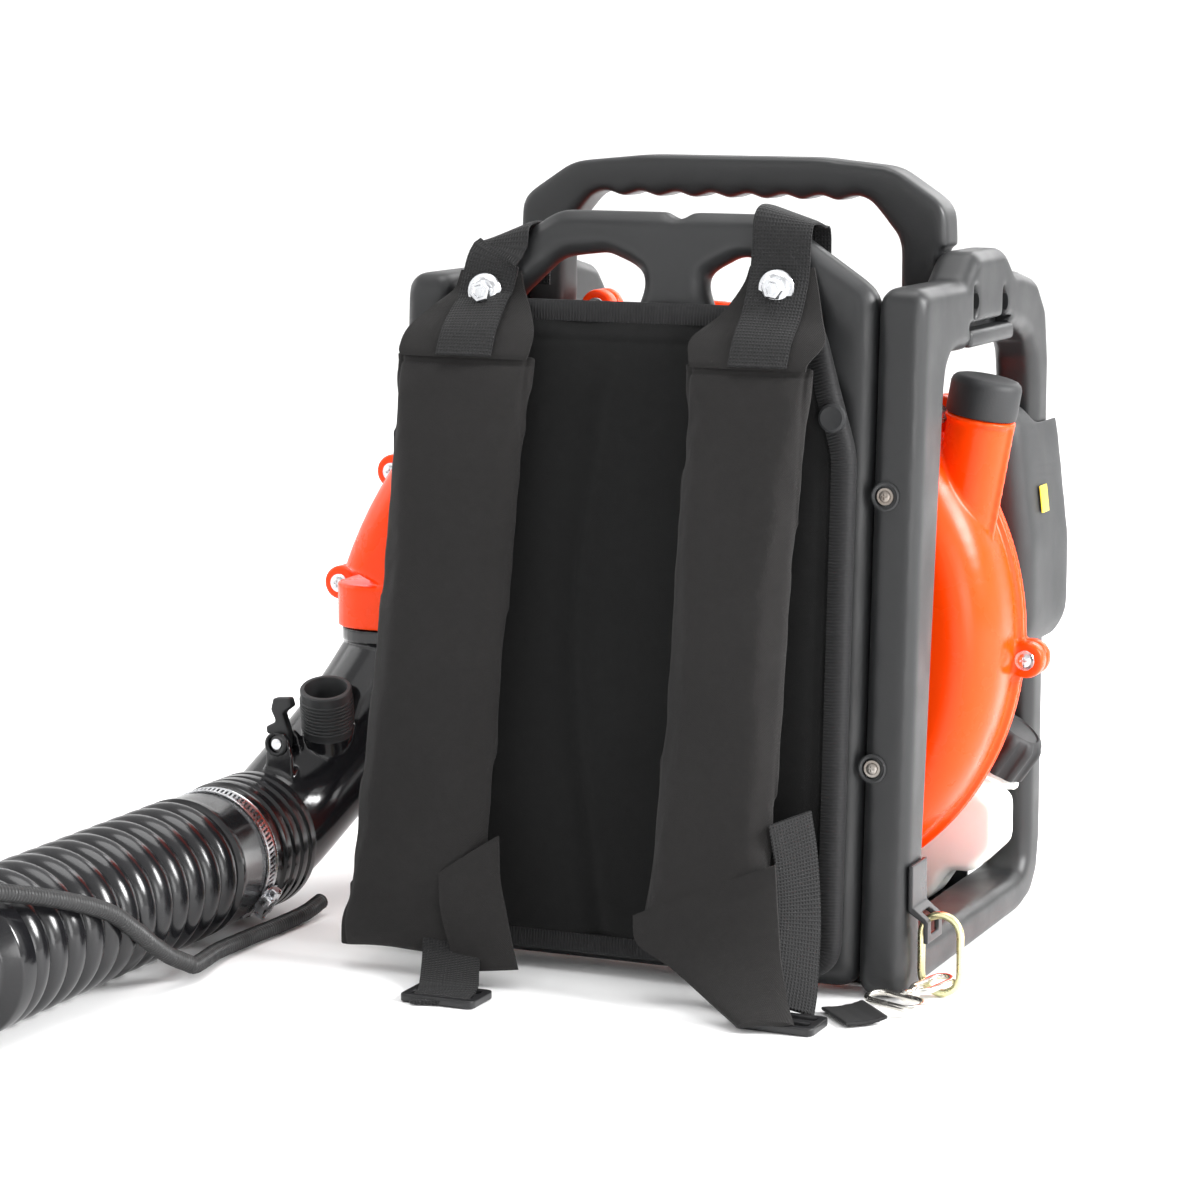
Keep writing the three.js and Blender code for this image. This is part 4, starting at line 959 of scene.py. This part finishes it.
def hose_clamp():
    """A worm-drive clamp: a slotted band, the screw's housing, the screw and the band's free end."""
    base = mm(HOSE_X, 0, HOSE_Z)
    profile = [(44.5, 158), (45.4, 158), (45.6, 158.8), (45.3, 159.4), (45.3, 169.6), (45.6, 170.2),
               (45.4, 171), (44.5, 171)]
    strip = lathe("clamp_band", profile, base, TOWARDS, STEEL, 180, closed=True)
    slots = []
    for i in range(44):
        angle = math.radians(-20 + i * 4.0)
        turn = Matrix.Rotation(-angle, 3, "Y") @ Matrix.Rotation(math.radians(14), 3, "X")
        slots.append(block("slot", (-3, -3.4, -0.8), (3, 3.4, 0.8), turn=turn,
                           centre=base + mm(45 * math.cos(angle), -164.5, 45 * math.sin(angle))))
    cut(strip, joined("slots", slots))
    crisp(strip, 40)
    angle = math.radians(-35)
    turn = Matrix.Rotation(math.pi / 2 - angle, 3, "Y")
    middle = base + mm(48.6 * math.cos(angle), -164.5, 48.6 * math.sin(angle))
    house = block("house", (-7, -6, -3.4), (7, 6, 5), STEEL, 1.6, turn=turn, centre=middle)
    screw = lathe("worm", [(0, -13), (3.4, -13), (4.0, -12.4), (4.0, -8.5), (3.3, -8), (3.3, 8), (3.9, 8.4),
                           (3.9, 10), (0, 10)], middle + (turn @ Z) * 1 * MM, turn @ X, STEEL, 32,
                  bulge=lambda a, s: 0.25 * math.cos(6 * a) if s < -8 else 0)
    tail = block("tail", (-12, -6.3, -0.5), (12, 6.3, 0.5), STEEL, 0.4, turn=turn,
                 centre=middle - (turn @ Z) * 2.6 * MM)
    stands_for(joined("hose_clamp_detailed", [strip, house, screw, tail]), "hose_clamp")


CONDUIT_REAR = [(-256, -106, 9), (-255, -130, 6.6), (-256, -165, 6.1), (-258, -205, 6.3), (-257, -240, 7.2),
                (-251, -268, 8.5), (-247.5, -284, 10), (-248, -291, 13)]
CONDUIT_FRONT = [(-248, -291, 13), (-250, -308, 21.5), (-250.5, -328, 34), (-249.5, -352, 50),
                 (-252.5, -377, 66), (-259, -425, 84), (-271, -475, 98), (-280, -505, 102), (-284, -521, 100)]


def ribbed_conduit(node, route):
    def ripple(run):
        return (5.0 + 0.55 * math.sin(2 * math.pi * run / (2.6 * MM))) * MM
    path = even_path(smooth_path([mm(*p) for p in route], 12), 0.5 * MM)
    piece = tube(node + "_ribbed", path, ripple, CONDUIT, 16, sharp=80)
    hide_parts(node)
    return piece


def conduit():
    rear = ribbed_conduit("throttle_conduit_rear", CONDUIT_REAR)
    front = ribbed_conduit("throttle_conduit_front", CONDUIT_FRONT)
    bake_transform(rear)
    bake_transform(front)


def rigid_tube():
    turned = {
        "handle_tube": [(30, 1.5), (46, 1.5), (47, 2.6), (47, 15), (46, 17), (37.6, 22), (36.4, 24), (36, 28),
                        (36, 174), (36.4, 176), (37, 178), (37, 211), (36.4, 212), (32.3, 212), (32.3, 182),
                        (30, 180)],
        "blow_pipe": [(29, 184), (31.5, 184), (31.5, 214), (31.5, 484), (32.2, 487), (33.6, 490), (33.6, 520.8),
                      (33, 522), (31.8, 522), (31.8, 496), (29, 492)],
        "nozzle": [(28, 498), (31, 498), (31, 530), (30.2, 560), (26, 790), (25.4, 795), (26, 797), (26, 803),
                   (24.6, 806), (22, 806), (24, 788), (28, 528)],
    }
    for node, profile in turned.items():
        piece = lathe(node + "_turned", profile, in_tube(0, 0, 0), TUBE_AXIS, GLOSS, 96, closed=True)
        stands_for(piece, node)
    # The switch's well is cut again after the grip is rounded, or its corners would reach the switch.
    grip = softened(copy_of("throttle_grip", "throttle_grip_moulded"), 1.1, 8, MATTE)
    well = block("switch_well", (-6.4, -10.4, -13.4), (6.4, 10.4, 13.4),
                 turn=Matrix.Rotation(TILT, 3, "X"), centre=in_tube(0, -108, 157))
    stands_for(cut(grip, well), "throttle_grip")
    moulded("throttle_trigger", ORANGE, 0.7, 4)
    moulded("stop_switch", ORANGE, 0.6, 9)
    places = [in_tube(15.2, y, z) for y, z in ((-114, 52), (-102, 88), (-100, 132))]
    screws = [pan_screw("grip_screw", place, X, 3.2) for place in places]
    extra(joined("grip_screws", screws), "air_tube")


# ---- Engine side ----

CAP_POINTS, CAP_LOBES = 200, 10


def cap_ring(radius, depth, along):
    """One level of the fuel cap, waved by its finger lobes."""
    turn = turning(NECK_UP)
    ring = []
    for i in range(CAP_POINTS):
        angle = 2 * math.pi * i / CAP_POINTS
        wave = math.cos(angle * CAP_LOBES)
        out = radius + depth * math.copysign(abs(wave) ** 0.6, wave)
        ring.append(NECK_FOOT + turn @ mm(out * math.cos(angle), out * math.sin(angle), along))
    return ring


def fuel_cap():
    levels = [(19.6, 0, 12), (22, 0.6, 12), (22.4, 1, 13), (22.3, 1.2, 20), (22.2, 1.3, 34), (21.6, 1.2, 37),
              (20, 0.8, 39.6), (18.4, 0.4, 41.4), (16.4, 0, 42), (15.4, 0, 41), (3, 0, 40.6)]
    rings = [cap_ring(*level) for level in levels]
    points = [p for ring in rings for p in ring]
    fluted = build("fuel_cap_fluted", points, rings_joined(len(rings), len(rings[0])), RUBBER)
    stands_for(crisp(fluted, 40), "fuel_cap")
    ring = NECK_FOOT + NECK_UP * 8.5 * MM
    line = [ring + mm(-8, -20, 2), NECK_FOOT + mm(-20, -26, 6), NECK_FOOT + mm(-30, -22, 10),
            NECK_FOOT + mm(-34, -12, 6)]
    tether = tube("cap_tether", even_path(smooth_path(line, 8), 1.5 * MM), 1.2 * MM, RUBBER, 12)
    extra(tether)


# Node, finish, voxel in mm and smoothing rounds.
ENGINE_MOULDINGS = (
    ("filter_cover", MATTE, 2.6, 60), ("filter_base", MATTE, 1.1, 2),
    ("filter_element", FOAM, 1.5, 4), ("cylinder_shroud", MATTE, 1.3, 4), ("recoil_housing", MATTE, 1.2, 3),
    ("starter_pulley", MATTE, 1.2, 2), ("starter_grip", RUBBER, 0.9, 6), ("muffler", DARK_STEEL, 1.3, 4),
    ("crankcase", ALLOY, 1.4, 3), ("cylinder", ALLOY, 1.0, 2), ("carburetor", ALLOY, 0.9, 2),
    ("flywheel", ALLOY, 1.2, 2), ("impeller", MATTE, 1.2, 2), ("crankshaft", STEEL, 1.0, 2),
    ("piston", ALLOY, 1.0, 2), ("choke_lever", ORANGE, 0.6, 3), ("primer_bulb", RUBBER, 0.6, 4),
    ("spark_plug", RUBBER, 0.8, 3), ("intake_guard", MATTE, 1.0, 3), ("damper_left", RUBBER, 1.2, 4),
    ("damper_right", RUBBER, 1.2, 4))


def engine():
    """The tank with its cap, the engine's mouldings and castings, and what is fixed to them."""
    moulded("fuel_tank", TANK, 1.4, 10)
    fuel_cap()
    for node, material, voxel, rounds in ENGINE_MOULDINGS:
        moulded(node, material, voxel, rounds)
    tag = block("filter_label", (-0.5, -7.5, -9), (0.5, 7.5, 9), LABEL, 0.4,
                turn=Matrix.Rotation(math.radians(-6.8), 3, "Y"), centre=mm(186.0, 88, 283))
    extra(tag)
    places = [mm(x, 124.8, z) for x, z in ((-50, 262), (54, 262), (-40, 372), (44, 372))]
    for degrees in (-140, -40, 42, 138):
        a = math.radians(degrees)
        places.append(mm(FAN_X + 60 * math.cos(a), 150, FAN_Z + 60 * math.sin(a)))
    places += [mm(-130, 122, 206), mm(-84, 122, 290)]
    screws = [pan_screw("engine_screw", place, Y, 3.6) for place in places]
    extra(joined("engine_screws", screws))
    rope = tube("starter_rope", even_path([mm(50, 150, 175), mm(50, 162, 175)], 1.0 * MM),
                lambda run: (1.7 + 0.12 * math.sin(run / MM * 3)) * MM, THREAD, 12)
    extra(rope, BODY_OF["starter_grip"])


# ---- Harness ----

# Stations down each shoulder pad: x, y, z and half width in mm.
PADS = {
    "left": [(-114, -158, 412, 30), (-115.5, -163, 392, 52), (-118, -172, 330, 53), (-121, -184, 250, 53),
             (-126, -194, 160, 54), (-131, -202, 80, 55), (-133.5, -211, 15, 55)],
    "right": [(82, -158, 412, 30), (76, -163, 392, 46), (74, -172, 330, 47), (72, -184, 250, 47),
              (70, -194, 160, 47), (67, -202, 80, 47), (65, -208, 26, 46)],
}
# The last station drawn, a little above the CAD's.
LOW_ENDS = {"left": (-134, -211, 8, 55), "right": (65, -208, 24, 46)}
# The strap bolts as (x, height up the frame), and the webbing's loops as (x, top, slope across).
BOLTS = {"left": (-113, 425), "right": (84, 433)}
LOOPS = {"left": (-106, 459, 0.62), "right": (84, 475, -0.45)}
YOKE_SEAM = 391
CLOTH_FRAMES = 20
PAD_LOW, PAD_BEND, PAD_HIGH = 10, 334, 422
PAD_WIDE, PAD_TOP_WIDE = 138, 112


def pad_line(side):
    """Middle line and half width of a shoulder pad, from its seam down."""
    stations = [*PADS[side][1:-1], LOW_ENDS[side]]
    middles = smooth_path([mm(x, y, z) for x, y, z, _ in stations], 10)
    halves = smooth_path([mm(half, 0, 0) for *_, half in stations], 10)
    return middles, [h.x for h in halves]


def slab(name, middles, halves, thick):
    """A pad: crowned across its width and thinner at its edges and ends."""
    rows, columns = len(middles), 24
    points = []
    for face in (-1, 1):
        for i, (middle, half) in enumerate(zip(middles, halves)):
            near = min(i / 3 + 0.35, (rows - 1 - i) / 3 + 0.35, 1.0)
            for k in range(columns + 1):
                u = 2 * k / columns - 1
                lens = math.sqrt(max(0.12, 1 - abs(u) ** 5)) * near
                points.append(middle + Vector((u * half, face * thick / 2 * lens, 0)))
    return build(name, points, sheet_faces(rows, columns + 1))


def puffed(piece, voxel, cap):
    """Fills a pad by a short cloth simulation with its own pressure. No point moves further than cap."""
    softened(piece, voxel, 2)
    start = [v.co.copy() for v in piece.data.vertices]
    cloth = piece.modifiers.new("Cloth", "CLOTH")
    settings = cloth.settings
    settings.use_pressure = True
    settings.uniform_pressure_force = 4.0
    settings.effector_weights.gravity = 0
    settings.quality = 5
    settings.mass = 0.3
    settings.tension_stiffness = 15
    settings.compression_stiffness = 15
    settings.bending_stiffness = 0.5
    cloth.point_cache.frame_start = 1
    cloth.point_cache.frame_end = CLOTH_FRAMES
    scene = bpy.context.scene
    for number in range(1, CLOTH_FRAMES + 1):
        scene.frame_set(number)
    ready = piece.evaluated_get(bpy.context.evaluated_depsgraph_get())
    moved = [v.co.copy() for v in ready.data.vertices]
    piece.modifiers.clear()
    scene.frame_set(1)
    for vertex, before, after in zip(piece.data.vertices, start, moved):
        step = after - before
        if step.length > cap * MM:
            step *= cap * MM / step.length
        vertex.co = before + step
    return eased(piece, 3)


def subdivided(piece, levels, material):
    step = piece.modifiers.new("Subdivision", "SUBSURF")
    step.levels = levels
    step.render_levels = levels
    return finished(settle(piece), material)


def sculpt(piece, depth):
    """Moves each point along its normal by a function of its place and normal, in mm."""
    steps = [v.normal * (depth(v.co / MM, v.normal) * MM) for v in piece.data.vertices]
    for vertex, step in zip(piece.data.vertices, steps):
        vertex.co += step
    piece.data.update()
    return piece


def groove(distance, width):
    """1 in the middle of a sewn line, 0 beyond its width."""
    return math.exp(-(distance / width) ** 2)


def shoulder_pad(side):
    """A filled pad with two sewn lines inside each edge. Returns its middle and half width at a height."""
    middles, halves = pad_line(side)
    pad = slab(f"shoulder_pad_{side}_sewn", middles, [h - 2.5 * MM for h in halves], 13 * MM)
    puffed(pad, 4.2, 5.0)
    subdivided(pad, 2, NYLON)
    stations = PADS[side][1:]

    def centre(z):
        for (xa, _, za, ha), (xb, _, zb, hb) in zip(stations, stations[1:]):
            if z >= zb:
                t = min(max((z - zb) / (za - zb), 0), 1)
                return xb + (xa - xb) * t, hb + (ha - hb) * t
        return stations[-1][0], stations[-1][3]

    def depth(p, normal):
        x, half = centre(p.z)
        u = p.x - x
        facing = max(0.0, -normal.y)
        move = 0.0
        for line in (-1, 1):
            move -= 1.3 * groove(u - line * (half - 8.5), 1.5) * facing
            move -= 0.6 * groove(u - line * (half - 3.2), 0.9) * facing
        move -= 1.4 * groove(p.z - 383, 1.6) * facing
        low = max(0.0, min(1.0, (120 - p.z) / 90))
        move += (0.7 + 1.3 * low) * noise.noise(Vector((p.x * 0.022, 1.5, p.z * 0.011)))
        move += low * 1.6 * noise.noise(Vector((p.x * 0.03 + 5, 3.5, p.z * 0.07)))
        move += 0.35 * noise.noise(Vector((p.x * 0.07, p.y * 0.02, p.z * 0.05)))
        return move
    sculpt(pad, depth)
    stands_for(pad, f"shoulder_pad_{side}")
    return centre


def yoke(side, centre):
    """The cloth that gathers the pad's top in to its webbing."""
    sign = -1 if side == "left" else 1
    x_top, z_top = BOLTS[side]
    x_low, half = centre(YOKE_SEAM)
    rows = [(lean(x_top, -4.4, z_top + 13), 21), (lean(x_top, -6.8, z_top + 1), 24.5),
            (lean(x_top + (x_low - x_top) * 0.25, -15.5, 416), 33),
            (mm(x_top + (x_low - x_top) * 0.65, -163.0, 403), 43.5),
            (mm(x_low, -171.0, 391), half - 7.0), (mm(x_low, -172.2, 386), half - 8.5)]
    middles = smooth_path([m for m, _ in rows], 5)
    halves = [h.x for h in smooth_path([mm(h, 0, 0) for _, h in rows], 5)]
    columns, thick = 20, 1.6
    points = []
    for face in (0, 1):
        for middle, h in zip(middles, halves):
            for k in range(columns + 1):
                u = 2 * k / columns - 1
                sag = 1.8 * abs(u) ** 3 + 0.5 * noise.noise(Vector((u * 2 + 3 * sign, middle.z * 60, 2)))
                points.append(middle + Vector((u * h, (sag + face * thick) * MM, 0)))
    cloth = build(f"pad_yoke_{side}", points, sheet_faces(len(middles), columns + 1), NYLON)
    crisp(cloth, 50)
    extra(cloth)


def upper_webbing(side):
    """The loop of webbing over the top bar, and the bolt that holds it to the pad."""
    x, top, slope = LOOPS[side]
    flat, wide = X, Vector((1, 0, slope)).normalized()
    x_bolt, z_bolt = BOLTS[side]
    centres = [mm(x_bolt, -174.8, 388), mm(x_bolt, -166.4, 403), lean(x_bolt, -18.8, 416),
               lean(x_bolt, -9.6, z_bolt), lean(x_bolt * 0.5 + x * 0.5, -5.6, 446), lean(x, -3.6, top - 7),
               lean(x, 1.2, top + 1.4), lean(x, 13, top + 3.4), lean(x, 25, top + 1.2), lean(x, 30.6, top - 7),
               lean(x, 30.6, 430)]
    across = [flat] * 4 + [(flat + wide * 0.6).normalized()] + [wide] * 6
    band = strap(f"upper_webbing_{side}_woven", centres, across, 38 * MM, 2.4 * MM, WEBBING)
    stands_for(band, f"upper_webbing_{side}")
    out = (lean(0, -1, 0) - lean(0, 0, 0)).normalized()
    bolt = hex_bolt(f"strap_bolt_{side}", lean(x_bolt, -10.9, z_bolt), out, 0.3 if side == "left" else 0.9)
    extra(bolt)


def pad_edge(inset):
    """The back pad's outline, (across, height) in mm, drawn in from its edge."""
    low, high, wide, top = PAD_LOW + inset, PAD_HIGH - inset, PAD_WIDE - inset, PAD_TOP_WIDE - inset
    ring = [(-wide, low, 18), (wide, low, 18), (wide, PAD_BEND, 60), (top, high, 22), (-top, high, 22),
            (-wide, PAD_BEND, 60)]
    line = []
    for i, (x, z, radius) in enumerate(ring):
        here = Vector((x, z))
        before, after = Vector(ring[i - 1][:2]), Vector(ring[(i + 1) % len(ring)][:2])
        a, b = (before - here).normalized(), (after - here).normalized()
        half = math.acos(max(-1, min(1, a.dot(b)))) / 2
        reach = radius / math.tan(half)
        start, end = here + a * reach, here + b * reach
        for k in range(7):
            t = k / 6
            line.append(start * (1 - t) ** 2 + here * 2 * t * (1 - t) + end * t * t)
    return line


def pad_width(height):
    """Half the width of the back pad, in mm, at a height up it."""
    above = max(0.0, height - PAD_BEND)
    return PAD_WIDE - above * (PAD_WIDE - PAD_TOP_WIDE) / (PAD_HIGH - PAD_BEND)


def pad_depth(height):
    """How much of its full thickness the back pad keeps towards its top edge."""
    return 1 - 0.45 * min(max((height - 370) / 45, 0), 1)


def back_pad():
    """The quilted pad on the frame, with two sewn grooves that bow apart."""
    rows, columns = 44, 30
    low, high, corner = 16, 415, 18
    points = []
    for face in (-13.5, -4):
        for i in range(rows + 1):
            height = low + (high - low) * i / rows
            half = pad_width(height) - 7
            if height > high - corner:
                half -= corner - math.sqrt(corner ** 2 - (height - high + corner) ** 2)
            for k in range(columns + 1):
                u = 2 * k / columns - 1
                points.append(lean(u * half, face * pad_depth(height), height))
    pad = build("back_pad_sewn", points, sheet_faces(rows + 1, columns + 1))
    puffed(pad, 4.6, 4.0)
    subdivided(pad, 1, BACK_CLOTH)

    def depth(p, normal):
        facing = max(0.0, -normal.y)
        share = (p.z - 14) / 406
        bow = 28 + 24 * math.sin(math.pi * min(max(share, 0), 1)) ** 1.5
        move = 0.0
        for line in (-1, 1):
            move -= 2.6 * groove(p.x - 6 - line * bow, 7.0) * facing * min(1, max(0, (390 - p.z) / 60))
            move -= 1.0 * groove(p.x - line * (pad_width(p.z) - 20), 1.8) * facing
        move -= 1.0 * groove(p.z - 398, 1.8) * facing
        move += 0.9 * noise.noise(Vector((p.x * 0.018, 7.5, p.z * 0.012)))
        return move
    sculpt(pad, depth)
    stands_for(pad, "back_pad")

    back_pad_trim()


def back_pad_trim():
    """The binding sewn round the back pad, and the button beside it."""
    edge = [lean(x, 0, z) for x, z in pad_edge(6)]
    middle = lean(0, 0, 216)
    path = even_path(edge + [edge[0]], 2.5 * MM)[:-1]
    out = (lean(0, -1, 0) - lean(0, 0, 0)).normalized()
    section = [(-7.5, 1.2), (-2, 0.6), (3, 1.4), (5.2, 4.4), (5.6, 8.2), (5.2, 12), (3, 14.6), (-2, 15.4),
               (-7.5, 15.0)]
    points, weave = [], []
    run = 0.0
    count = len(path)
    for i, here in enumerate(path):
        ahead = (path[(i + 1) % count] - path[i - 1]).normalized()
        side = ahead.cross(out).normalized()
        if side.dot(here - middle) < 0:
            side.negate()
        if i > 0:
            run += (here - path[i - 1]).length
        keep = pad_depth(here.z / MM)
        for s, n in section:
            points.append(here + (side * s + out * n * keep) * MM)
            weave.append((s * MM, run, 0))
    faces = rings_joined(count, len(section), closed=True)
    binding = woven("back_pad_binding", points, faces, weave, BINDING)
    extra(crisp(binding, 60))
    profile = [(0, -1), (8.4, -1), (9, 0), (8.6, 1.6), (7, 2.4), (5.6, 1.9), (0, 1.7)]
    button = lathe("back_pad_button", profile, mm(124.7, -152.6, 357), out, RUBBER, 40)
    extra(button)


def sheet_between(name, left, right, thick, sag, seed):
    """Cloth between two edge lines, in metres, with soft folds and rounded edges."""
    columns = 18
    a, b = even_path(smooth_path(left, 8), CLOTH_STEP), smooth_path(right, 8)
    rows = len(a)
    b = even_path(b, sum((p - q).length for p, q in zip(b, b[1:])) / (rows - 1))[:rows]
    while len(b) < rows:
        b.append(b[-1].copy())
    points = []
    for face in (0, 1):
        for i, (p, q) in enumerate(zip(a, b)):
            back, on = max(i - 1, 0), min(i + 1, rows - 1)
            normal = (q - p).cross((a[on] + b[on]) / 2 - (a[back] + b[back]) / 2).normalized()
            if normal.y > 0:
                normal.negate()
            for k in range(columns + 1):
                t = k / columns
                u = 2 * t - 1
                here = p.lerp(q, t)
                fold = noise.noise(Vector((here.x * 28 + seed, here.y * 30, here.z * 34)))
                crown = sag * (1 - u * u) + 1.3 * fold
                body = thick / 2 * (1 - 0.5 * abs(u) ** 10) * (1 if face else -1)
                points.append(here + normal * (crown + body) * MM)
    return build(name, points, sheet_faces(rows, columns + 1))


def strap_ends():
    """The webbing that runs out from under each pad to its ladder-lock buckle."""
    left = [mm(-110, -203, 52), mm(-106, -210, 34), mm(-98, -226, 18), mm(-90, -244, 9), mm(-84, -258, 6.2),
            mm(-82, -270, 4.6), mm(-80, -277, 3.2)]
    extra(strap("strap_end_left", left, X, 37 * MM, 2.4 * MM, WEBBING, crown=0.6 * MM))
    inner = [mm(116, -196, 118), mm(118, -190, 90), mm(120, -190, 56), mm(124, -206, 24), mm(128, -224, 8)]
    inner_strap = strap("strap_inner_right", inner, Vector((0.62, 0.78, 0.1)), 30 * MM, 2.4 * MM, WEBBING)
    extra(inner_strap)


def pad_tails():
    """The cloth ends of the pads, which run on to the buckles."""
    inner = [mm(20, -212, 52), mm(25, -217, 36), mm(50, -226, 26), mm(82, -244, 14), mm(108, -260, 4.6)]
    outer = [mm(112, -210, 92), mm(115, -213, 66), mm(121, -222, 38), mm(131, -236, 16), mm(140, -248, 4.6)]
    right = sheet_between("pad_tail_right", inner, outer, 4.0, sag=3.0, seed=4)
    outer = [mm(-112, -214, 66), mm(-108, -219, 44), mm(-101, -223, 24), mm(-94, -226, 8)]
    inner = [mm(-74, -207, 92), mm(-70, -213, 66), mm(-62, -218, 40), mm(-54, -221, 12)]
    left = sheet_between("pad_tail_left", outer, inner, 3.6, sag=2.0, seed=9)
    for piece in (right, left):
        piece.data.materials.append(NYLON)
        crisp(piece, 50)
        extra(piece)


def buckles():
    for side in ("left", "right"):
        moulded(f"strap_buckle_{side}", CLIP, 0.7, 4)


def wire(name, path, radius, material):
    return tube(name, path, radius * MM, material, 16, closed=True)


def stadium(half_width, half_length):
    """Middle line of an oval link in its own XY plane, in mm."""
    steps, straight = 12, half_length - half_width
    turn = [math.pi * i / steps for i in range(steps + 1)]
    half = [Vector((half_width * math.cos(a), straight + half_width * math.sin(a), 0)) for a in turn]
    return half + [-p for p in half]


NECK_PROFILE = [(0, 0), (3, 0), (3.9, 1.5), (3.9, 5), (3.2, 6), (3.2, 9), (3.9, 10), (3.9, 13), (2.6, 14.4),
                (0, 14.4)]


def hardware():
    """On each side the anchor tab, the oval link in it, and the swivelled snap hook in the link."""
    for side, sign in (("left", -1), ("right", 1)):
        moulded(f"anchor_tab_{side}", CLIP, 0.7, 4)
        upright = Matrix.Rotation(math.pi / 2, 3, "X")
        centre = mm(193 * sign, -136, 27.2)
        line = [centre + upright @ (p * MM) for p in stadium(12.6, 24.6)]
        ring = wire(f"oval_link_{side}_bent", even_path(line + [line[0]], 1.6 * MM)[:-1], 2.4, ZINC)
        stands_for(ring, f"oval_link_{side}")
        turn = Matrix.Rotation(-0.38 if sign > 0 else 0.1, 3, "Z") @ Matrix.Rotation(0.1, 3, "X")
        flip = Matrix.Diagonal((sign, sign, 1))
        base = mm(194, -138, 11.4) if sign > 0 else mm(-194, -134, 11.4)
        place = flip @ turn

        def hooked(points, radius):
            return wire("wire", [base + place @ (p * MM) for p in points], radius, NICKEL)
        eye = hooked([p + Vector((0, -8, 0)) for p in stadium(6.5, 14.9)], 2.1)
        loop = hooked([Vector((p.y, p.x - 43, 0)) for p in stadium(8, 20)], 2.0)
        neck = lathe("neck", NECK_PROFILE, base + place @ mm(0, -21.6, 0), place @ TOWARDS, NICKEL, 32)
        stands_for(joined(f"snap_hook_{side}_cast", [eye, neck, loop]), f"snap_hook_{side}")


def lower_webbing():
    """The short tails of webbing in the hooks' eyes, which lie on the floor."""
    tail = [mm(-199, -78, 3.4), mm(-199, -72, 5), mm(-200, -64, 6), mm(-200.5, -57, 4.5), mm(-201, -50, 1.6)]
    stands_for(strap("lower_webbing_left_woven", tail, X, 36 * MM, 2.4 * MM, WEBBING), "lower_webbing_left")
    moulded("lower_webbing_right", WEBBING, 0.8, 4)


# ---- The scene ----

camera()
lights()
studio()
frame_parts()
fan_case()
spout_cap()
elbow()
hose()
hose_clamp()
conduit()
rigid_tube()
engine()
back_pad()
for which in ("left", "right"):
    middle_of = shoulder_pad(which)
    yoke(which, middle_of)
    upper_webbing(which)
strap_ends()
pad_tails()
buckles()
hardware()
lower_webbing()
